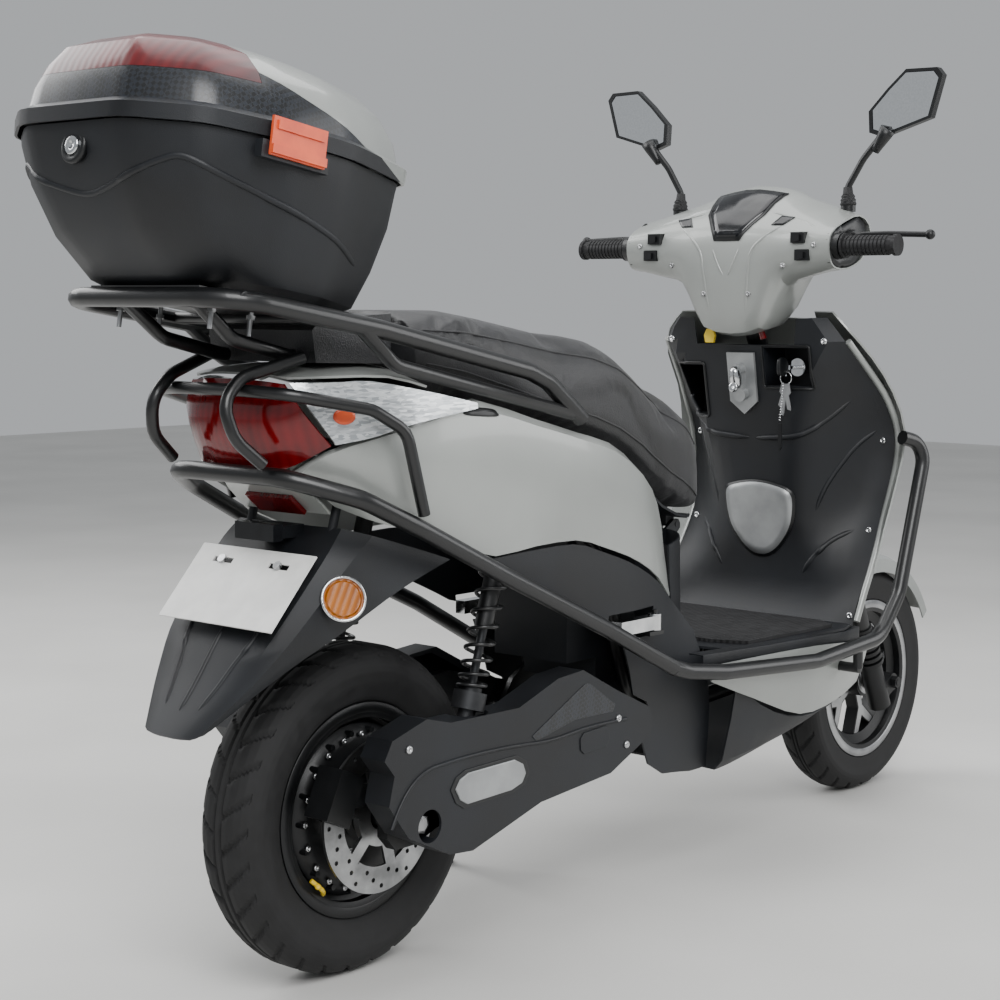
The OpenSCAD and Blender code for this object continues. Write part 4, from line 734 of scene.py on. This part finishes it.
def makeSprings():  # black coils, close at the foot and open at the top
    shapes = []
    across = Vector((shockAxis.z, 0, -shockAxis.x))
    length = spring["high"] - spring["low"]
    count, around = spring["turns"] * 24, 10
    for side in (1, -1):
        foot = at(100, 130 * side, 330)
        points = []
        for i in range(count + 1):
            t = i / count
            spin = 2 * math.pi * spring["turns"] * t
            out = across * math.cos(spin) + Vector((0, 1, 0)) * math.sin(spin)
            height = spring["low"] + length * t ** 1.35
            points += [foot + out * (spring["radius"] + spring["wire"] * math.cos(b)) / 1000
                       + shockAxis * (height + spring["wire"] * math.sin(b)) / 1000
                       for b in turnSteps(around)]
        ends = [list(range(around)), list(range(count * around, (count + 1) * around))]
        shapes.append((points, bandFaces(count + 1, around) + ends))
    coils = addPiece("shock_coils", joined(shapes), "steelTube", "shock_upper", "steel")
    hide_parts("shock_springs")
    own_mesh(coils)


makeSprings()
nutProfile = [(0, 0), (0, 0.013), (0.011, 0.013), (0.012, 0.009), (0.012, 0)]
axleNuts = [lathe(nutProfile, at(0, 138 * side, 222), (0, side, 0), 6) for side in (1, -1)]
addPiece("rear_axle_nuts", joined(axleNuts), "zinc", "arm", "zinc", smooth=False)
print("wheels and arm dressed")

caseLock = {"height": 138,
            "ring": [(-0.004, 0), (-0.004, 0.021), (0.0035, 0.021), (0.0045, 0.0185),
                     (0.0045, 0.0125), (0.001, 0.012), (0.001, 0)],
            "plug": [(0, 0), (0, 0.0115), (0.006, 0.0115), (0.007, 0.0095), (0.007, 0.004),
                     (0.004, 0.0035), (0.004, 0)]}
rearward = (Matrix.Rotation(caseTilt, 3, "Y") @ Vector((-1, 0, 0.05))).normalized()
lockSpot = drop("case_shell", atCase(-150, 0, caseLock["height"]), -rearward, 0.0)
addPiece("case_lock_ring", lathe(caseLock["ring"], lockSpot, rearward, 48), *chassisTrim)
addPiece("case_lock", lathe(caseLock["plug"], lockSpot, rearward, 32), *chassisChrome)

caseCrease = [(-163, 0, 90), (-168, -40, 96), (-172, -84, 110), (-162, -120, 125), (-150, -144, 130),
              (-121, -168, 118), (-77, -180, 106), (-20, -184, 95), (31, -186, 82), (90, -186, 64),
              (140, -176, 44)]
whole = [(x, -y, z) for x, y, z in reversed(caseCrease)] + caseCrease[1:]
ridge("case_ridge", "case_shell", [atCase(*spot) for spot in whole], 0.0045, chassisMoulding, 0.45,
      mirrored=False)
print("case dressed")

dash = {"half": [(898, 23, 1006), (926, 52, 1044), (974, 62, 1078)], "middle": (938, 0, 1048),
        "rim": 0.09, "down": (0.55, 0, -0.83),
        "tellTale": [(910, 78, 1024), (926, 90, 1037), (926, 116, 1033), (912, 100, 1022)]}
window = [at(*spot) for spot in dash["half"]]
window += [at(x, -y, z) for x, y, z in reversed(dash["half"])]
rim = [v + (v - at(*dash["middle"])) * dash["rim"] for v in window]
settle(laidPatch("dash_rim", "headset_cover", straightOutline(rim), dash["down"], 0.0008, 0.0022),
       *steeringTrim)
settle(laidPatch("dash_window", "headset_cover", straightOutline(window), dash["down"], 0.0018, 0.0016),
       "display", "steering", "black_plastic")
for side, tag in sides:
    lamp = straightOutline([at(x, side * y, z) for x, y, z in dash["tellTale"]], 4)
    settle(laidPatch(f"dash_tell_tale_{tag}", "headset_cover", lamp, (0.75, 0, -0.66), 0.0008, 0.002, 3),
           "display", "steering", "black_plastic")

headsetRidges = {
    "headset_edge": {"radius": 0.0028, "spots": [(913, 104, 1025), (900, 72, 1004), (893, 50, 980),
                                                 (894, 44, 945), (897, 40, 915), (908, 34, 875)]},
    "headset_vee": {"radius": 0.0022, "spots": [(906, 34, 1014), (896, 26, 985), (893, 12, 955),
                                                (893, 3, 940)]},
    "headset_brow": {"radius": 0.0025, "spots": [(930, 60, 1050), (926, 96, 1040), (920, 140, 1022),
                                                 (908, 176, 1004)]},
}
for name, spec in headsetRidges.items():
    ridge(name, "headset_cover", [at(*spot) for spot in spec["spots"]], spec["radius"],
          ("paint", "steering", "body_paint"), 0.4)

cuff = {"bar": (912, 0, 988), "end": 0.1985, "steps": 30, "hole": 0.0165,
        "rings": ((0.985, 0.194), (0.97, 0.1985), (0.8, 0.2015), (0.0, 0.2025))}


def barCuff(side, tag):  # closes the open end of the cover round the grip
    bar, count = at(*cuff["bar"]), cuff["steps"]
    reaches = {}
    for v in [v.co for v in nodes["headset_cover"].data.vertices if v.co.y * side > cuff["end"]]:
        step = round(math.atan2(v.z - bar.z, v.x - bar.x) / math.radians(360 / count)) % count
        reaches[step] = min(reaches.get(step, 1), math.hypot(v.x - bar.x, v.z - bar.z))
    points = []
    for share, y in cuff["rings"]:
        for k, t in enumerate(turnSteps(count)):
            near = min(reaches, key=lambda q: min((q - k) % count, (k - q) % count))
            reach = reaches[near] * share if share else cuff["hole"]
            points.append(Vector((bar.x + math.cos(t) * reach, y * side, bar.z + math.sin(t) * reach)))
    shape = (points, bandFaces(len(cuff["rings"]), count))
    thicken(addPiece(f"bar_cuff_{tag}", shape, *steeringTrim), 0.002)


for side, tag in sides:
    barCuff(side, tag)
headScrews = [domeScrew(drop("headset_cover", at(895, y, z), (1, 0, 0), 0), (-1, 0, 0), 0.0045)
              for y, z in ((172, 992), (-172, 990), (44, 912), (-44, 912), (110, 960), (-110, 958))]
addPiece("headset_screws", joined(headScrews), "zinc", "steering", "zinc")

mirror = {"middle": (264, 1218), "share": 0.885,
          "outline": [(321, 1268), (266, 1269), (233, 1240), (200, 1206), (202, 1172), (226, 1164),
                      (312, 1190), (331, 1256)],
          "collar": [(0, 0), (0, 0.013), (0.012, 0.0115), (0.034, 0.0078), (0.042, 0.0068), (0.042, 0)],
          "boot": [(0, 0), (0, 0.0125), (0.003, 0.0135), (0.006, 0.0118), (0.009, 0.0128),
                   (0.012, 0.0105), (0.015, 0.0115), (0.019, 0.0085), (0.03, 0.0072), (0.03, 0)]}
for side, tag in sides:
    outline = [[(m + (c - m) * mirror["share"]) / 1000 for c, m in zip(spot, mirror["middle"])]
               for spot in mirror["outline"]]
    addPiece(f"mirror_glass_{tag}", prism(outline, 0.0008, at(1003.6, 0, 0), ahead(side)),
             "mirrorGlass", f"mirror_{tag}", "chrome", smooth=False)
    addPiece(f"mirror_collar_{tag}",
             lathe(mirror["collar"], at(1000, 238 * side, 1176), (0, -0.55 * side, -0.83), 28),
             "smoothMoulding", f"mirror_{tag}", "black_plastic")
    addPiece(f"mirror_boot_{tag}",
             lathe(mirror["boot"], at(1000, 168 * side, 1056), (0, -0.05 * side, 1), 28),
             "grip", f"mirror_{tag}", "grip_rubber")
print("bars dressed")

badge = {"half": [(0, 592), (34, 588), (63, 577), (66, 548), (58, 515), (38, 486), (18, 470)],
         "tip": (0, 466), "middle": (0, 534), "rim": 1.07}
badgeOutline = badge["half"] + [badge["tip"]] + [(-y, z) for y, z in reversed(badge["half"][1:])]
badgeOutline = [at(1000, y, z) for y, z in badgeOutline]
middle = at(1000, *badge["middle"])
badgeRim = [middle + (v - middle) * badge["rim"] for v in badgeOutline]
settle(laidPatch("shield_badge_rim", "leg_shield", smoothOutline(badgeRim, 3), (1, 0, 0), 0.001,
                 0.0024), *chassisTrim)
settle(laidPatch("shield_badge", "leg_shield", smoothOutline(badgeOutline, 3), (1, 0, 0), 0.0024,
                 0.0012), "silverPaint", "chassis", "silver_paint")
shieldCreases = {
    "shield_crease_top": [(986, 4, 669), (987, 50, 672), (990, 93, 679), (1013, 134, 706),
                          (1039, 169, 743)],
    "shield_crease_mid": [(1090, 192, 690), (1063, 150, 651), (1038, 114, 588), (1030, 96, 536)],
    "shield_crease_low": [(1073, 161, 520), (1044, 126, 498), (1024, 100, 468), (1014, 78, 432)],
}
for name, spots in shieldCreases.items():
    ridge(name, "leg_shield", [at(*spot) for spot in spots], 0.005, chassisMoulding, 0.55)

floorEdge = {"top": [(572, 190, 372), (700, 206, 370), (850, 210, 366), (960, 208, 362),
                     (1012, 200, 362)],
             "low": [(572, 190, 346), (700, 205, 350), (850, 209, 348), (960, 208, 342),
                     (1012, 200, 338)],
             "width": 26, "thickness": 0.0025}
shieldEdge = {"from": 368, "to": 868, "step": 25, "reach": 14, "radius": 0.0058}


def floorStrip(side, tag):  # the black edge moulding between the mat and the painted fairing
    inner = [(x, y - floorEdge["width"], z) for x, y, z in floorEdge["top"]]
    rows = [denseRow(row, 6) for row in (inner, floorEdge["top"], floorEdge["low"])]
    points = [at(x, y * side, z) for row in rows for x, y, z in row]
    across = len(rows[0])
    faces = [[r * across + k, r * across + k + 1, (r + 1) * across + k + 1, (r + 1) * across + k]
             for r in range(2) for k in range(across - 1)]
    strip = newMesh(f"floor_edge_{tag}", points, faces)
    thicken(strip, floorEdge["thickness"])
    soften(strip, 0.0012)
    settle(strip, *chassisMoulding)


def shieldTrim(side, tag):  # the painted edge of the front shell shows beyond the leg shield
    spots = [v.co for v in nodes["leg_shield"].data.vertices]
    path = []
    for z in range(shieldEdge["from"], shieldEdge["to"], shieldEdge["step"]):
        level = [v for v in spots if abs(v.z * 1000 - z) < shieldEdge["reach"]]
        if level:
            path.append(max(level, key=lambda v: v.y * side).copy())
    even = [path[0]] + [(a + b + c) / 3 for a, b, c in zip(path, path[1:], path[2:])] + [path[-1]]
    trim = [v + Vector((0.004, 0.003 * side, 0)) for v in even]
    settle(tubeCurve(f"shield_trim_{tag}", trim, shieldEdge["radius"]), "paint", "chassis", "body_paint")


for edging in (floorStrip, shieldTrim):
    for side, tag in sides:
        edging(side, tag)

hook = {"lever": [(-0.019, 0), (-0.019, 0.004), (-0.012, 0.0085), (0, 0.0105), (0.012, 0.0095),
                  (0.018, 0.006), (0.02, 0)],
        "lock": [(0, 0), (0, 0.0085), (0.004, 0.0085), (0.005, 0.007), (0.005, 0.003), (0.003, 0)]}
addPiece("hook_lever", lathe(hook["lever"], at(936, 4, 772), (0.25, 0, -1), 24), *chassisChrome)
addPiece("hook_lock", lathe(hook["lock"], at(932, 4, 756), (-1, 0, 0.2), 24), *chassisChrome)
spareKey = [(-0.008, -0.012), (0.008, -0.012), (0.011, 0), (0.006, 0.011), (-0.006, 0.011), (-0.011, 0)]
rearFacing = Matrix(((0, 0, -1), (1, 0, 0), (0, 1, 0)))
addPiece("spare_key_head", prism(spareKey, 0.005, at(940, 58, 842), rearFacing),
         "yellow", "chassis", "amber_lens", smooth=False)
settle(tubeCurve("cable_plug", [at(952, -34, 852), at(956, -37, 838)], 0.0055),
       "redLens", "chassis", "red_lens")
shieldScrews = [domeScrew(drop("leg_shield", at(1000, side * y, z), (1, 0, 0), 0.0), (-1, 0, 0), 0.006)
                for y, z in ((152, 835), (186, 667), (176, 516), (188, 380)) for side in (1, -1)]
addPiece("shield_screws", joined(shieldScrews), *chassisChrome)
pockets = {"left": (86, 702, 162, 794), "right": (-126, 756, -34, 826)}
for tag, (low, foot, high, top) in pockets.items():
    corners = [(low, foot), (high, foot), (high, top), (low, top)]
    dense = straightOutline([Vector((0, y, z)) for y, z in corners], 6)
    middle = sum(dense, Vector()) / len(dense)
    loop = [middle + (v - middle) * 1.02 for v in dense]
    edge = [drop("leg_shield", at(1000, v.y, v.z), (1, 0, 0), 0.0008) for v in loop]
    settle(tubeCurve(f"pocket_edge_{tag}", edge, 0.0022, closed=True), *chassisTrim)

keys = {"centre": (960, -80, 790), "ring": 0.011, "links": 14, "lean": ((-0.2, 0.042), (0.12, 0.05),
                                                                        (0.3, 0.038)),
        "fob": [(-0.003, 0), (0.003, 0), (0.0035, -0.04), (0.0, -0.045), (-0.0035, -0.04)],
        "head": [(-0.012, -0.01), (0.012, -0.01), (0.014, 0.008), (0, 0.017), (-0.014, 0.008)]}
keyCentre = at(*keys["centre"])
ring = [keyCentre + Vector((0, keys["ring"] * math.cos(t), -0.017 + keys["ring"] * math.sin(t)))
        for t in turnSteps(16)]
settle(tubeCurve("key_ring", ring, 0.0009, closed=True), *chassisChrome)
bead = [(-0.0016, 0), (-0.0011, 0.0012), (0, 0.0017), (0.0011, 0.0012), (0.0016, 0)]
chain = [lathe(bead, keyCentre + Vector((-0.002, 0.004 + 0.0004 * k, -0.03 - 0.0044 * k)), (0, 0, 1), 10)
         for k in range(keys["links"])]
addPiece("key_chain", joined(chain), *chassisChrome)
addPiece("key_fob", prism(keys["fob"], 0.003, keyCentre + Vector((-0.001, 0.01, -0.093)), ahead()),
         *chassisTrim, smooth=False)
hanging = []
for lean, length in keys["lean"]:
    shape = [(-0.0085, 0), (0.0085, 0), (0.0085, -0.016), (0.0035, -0.02), (0.0035, -length),
             (-0.0025, -length - 0.003), (-0.0035, -length + 0.002), (-0.0035, -0.02), (-0.0085, -0.016)]
    hanging.append(prism(shape, 0.0018, keyCentre + Vector((-0.001 + lean * 0.006, 0, -0.027)),
                         Matrix.Rotation(lean, 3, "X") @ ahead()))
addPiece("hanging_keys", joined(hanging), "zinc", "chassis", "zinc", smooth=False)
headShape = smoothOutline([Vector((x, y, 0)) for x, y in keys["head"]], 4)
headTurn = Matrix(((0, 1, 0), (0, 0, -1), (-1, 0, 0)))  # the key's blade points into the lock
keyHead = newMesh("key_head", *prism([(v.x, v.y) for v in headShape], 0.006,
                                    keyCentre + Vector((-0.013, 0.003, 0.002)), headTurn))
soften(keyHead, 0.0012)
settle(keyHead, "smoothMoulding", "key_lock", "black_plastic")

panelSlot = [(62, 758), (66, 752), (120, 748), (124, 753), (118, 758), (70, 762)]
bulb = {"x": -125, "y": 134, "z": 757, "long": 15, "high": 10}
for side, tag in sides:
    slotShape = smoothOutline([at(x, 150 * side, z) for x, z in panelSlot], 3)
    settle(laidPatch(f"panel_slot_{tag}", f"side_panel_{tag}", slotShape, (0, -side, 0), 0.0007,
                     0.001, 3), *chassisTrim)
for side, tag in sides:
    bulbShape = [at(bulb["x"] + bulb["long"] * math.cos(t), bulb["y"] * side,
                    bulb["z"] + bulb["high"] * math.sin(t)) for t in turnSteps(20)]
    settle(laidPatch(f"indicator_bulb_{tag}", "clear_lenses", bulbShape, (0.35, -side, 0), 0.0008,
                     0.0015, 3), "orange", "chassis", "amber_lens")
mudguard = {"crease": [(-185, 66, 540), (-211, 60, 483), (-236, 48, 450), (-256, 40, 424),
                       (-280, 28, 392)],
            "spine": [(-200, 0, 510), (-230, 0, 462), (-262, 0, 418), (-284, 0, 390)]}
for name, spots in mudguard.items():
    ridge(f"mudguard_{name}", "mudguard", [at(*spot) for spot in spots], 0.004, chassisMoulding, 0.55,
          mirrored=name == "crease")
bezel = [(0.0012, 0.0268), (0.0012, 0.0292), (0.0075, 0.0288), (0.0085, 0.0262), (0.006, 0.0252),
         (0.0052, 0.0255)]
lensTurn = Matrix.Rotation(math.radians(-62), 3, "Y") @ Matrix.Rotation(math.radians(-55), 3, "X")
bezels = []
for side in (1, -1):
    axis = lensTurn @ Vector((0, 0, 1))
    axis.y *= side
    bezels.append(lathe(bezel, at(-128, 132 * side, 530) + axis * 0.0014, axis, 40))
addPiece("reflector_bezels", joined(bezels), *chassisChrome)
print("body dressed")

seat = {"voxel": 0.006, "pressure": 4.0, "frames": 20, "cap": 0.010, "shrink": 0.006}
seams = {"side_seam": [(12, 862), (110, 858), (220, 843), (319, 828), (401, 818), (469, 800),
                       (534, 768), (614, 730), (680, 704), (728, 668)],
         "lower_seam": [(12, 822), (110, 806), (220, 778), (319, 752), (401, 734), (469, 714),
                        (534, 686), (614, 640), (680, 612), (728, 590)]}


def inflate(obj):
    cloth = obj.modifiers.new("cloth", "CLOTH")
    cloth.settings.use_pressure = True
    cloth.settings.uniform_pressure_force = seat["pressure"]
    cloth.settings.effector_weights.gravity = 0
    cloth.settings.tension_stiffness = 20
    cloth.settings.bending_stiffness = 2
    cloth.point_cache.frame_start = 1
    cloth.point_cache.frame_end = seat["frames"]
    start = [v.co.copy() for v in obj.data.vertices]
    for f in range(1, seat["frames"] + 1):
        bpy.context.scene.frame_set(f)
    settled = obj.evaluated_get(bpy.context.evaluated_depsgraph_get())
    moved = [v.co.copy() for v in settled.data.vertices]
    obj.modifiers.remove(cloth)
    bpy.context.scene.frame_set(1)
    for v, a, b in zip(obj.data.vertices, start, moved):
        step = b - a
        if step.length > seat["cap"]:
            step *= seat["cap"] / step.length
        v.co = a + step


def makeSeat():
    bm = bmesh.new()
    bm.from_mesh(nodes["seat_cushion"].data)
    bmesh.ops.remove_doubles(bm, verts=bm.verts, dist=0.00005)
    bmesh.ops.recalc_face_normals(bm, faces=bm.faces)
    data = bpy.data.meshes.new("seat_cover")
    bm.to_mesh(data)
    bm.free()
    obj = addObject("seat_cover", data)
    remesh = obj.modifiers.new("remesh", "REMESH")
    remesh.mode = "VOXEL"
    remesh.voxel_size = seat["voxel"]
    smooth = obj.modifiers.new("smooth", "SMOOTH")
    smooth.iterations = 8
    made = bpy.data.meshes.new_from_object(obj.evaluated_get(bpy.context.evaluated_depsgraph_get()))
    obj.modifiers.clear()
    obj.data = made
    normals = [v.normal.copy() for v in made.vertices]
    for v, n in zip(made.vertices, normals):
        v.co -= n * seat["shrink"]
    inflate(obj)
    low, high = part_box("seat_cushion")
    for v in made.vertices:  # nothing of the cover goes past the solid it stands for
        v.co = Vector(min(max(c, a), b) for c, a, b in zip(v.co, low, high))
    for face in made.polygons:
        face.use_smooth = True
    final = obj.modifiers.new("round", "SUBSURF")
    final.levels = 1
    final.render_levels = 1
    obj.data.materials.clear()
    settle(obj, "vinyl", "seat", "vinyl")
    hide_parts("seat_cushion")
    return obj


def seatSeams(obj):
    tree = treeOf(obj.data)
    for name, spots in seams.items():
        for side, tag in sides:
            path = []
            for x, z in denseRow(spots, 5)[:-1]:
                hit = tree.ray_cast(at(x, 220 * side, z), Vector((0, -side, 0)))
                if hit[0]:
                    path.append(hit[0] + Vector((0, 0.0004 * side, 0)))
            if len(path) > 3:
                settle(tubeCurve(f"seat_{name}_{tag}", path, 0.0016), "vinyl", "seat", "vinyl")


seatSeams(makeSeat())
print("seat made")

studio = {"floor": 9, "sky": "#D8DBDE", "strength": 0.66, "aim": Vector((0, 0, 0.5)),
          "lights": {"key": ((-2.2, -2.4, 3.0), 150, 2.2), "fill": ((2.2, -2.6, 1.8), 55, 2.2),
                     "back": ((-0.6, 3.0, 2.8), 90, 2.4), "top": ((0.2, 0.2, 3.4), 70, 2.8)}}


def makeStage():
    size = studio["floor"]
    corners = ((-size, -size), (size, -size), (size, size), (-size, size))
    floor = newMesh("stage_floor", [Vector((x, y, 0)) for x, y in corners], [[0, 1, 2, 3]])
    mat, tree, skin, place = newFinish("paleStudioFloor", 0.6)
    cloud = addNode(tree, "ShaderNodeTexNoise", {"Scale": 1.5, "Detail": 3.0}, {"Vector": place})
    tint(tree, skin, cloud.outputs["Fac"], "#C9C8C5", "#D2D1CE")
    floor.data.materials.append(mat)
    world = bpy.data.worlds.new("studio")
    bpy.context.scene.world = world
    world.use_nodes = True
    sky = world.node_tree.nodes["Background"]
    sky.inputs["Color"].default_value = linear(studio["sky"])
    sky.inputs["Strength"].default_value = studio["strength"]
    for name, (spot, power, width) in studio["lights"].items():
        data = bpy.data.lights.new(name, "AREA")
        data.energy = power
        data.size = width
        obj = addObject(name, data)
        obj.location = spot
        obj.rotation_euler = (studio["aim"] - Vector(spot)).to_track_quat("-Z", "Y").to_euler()


makeStage()
print("stage made")
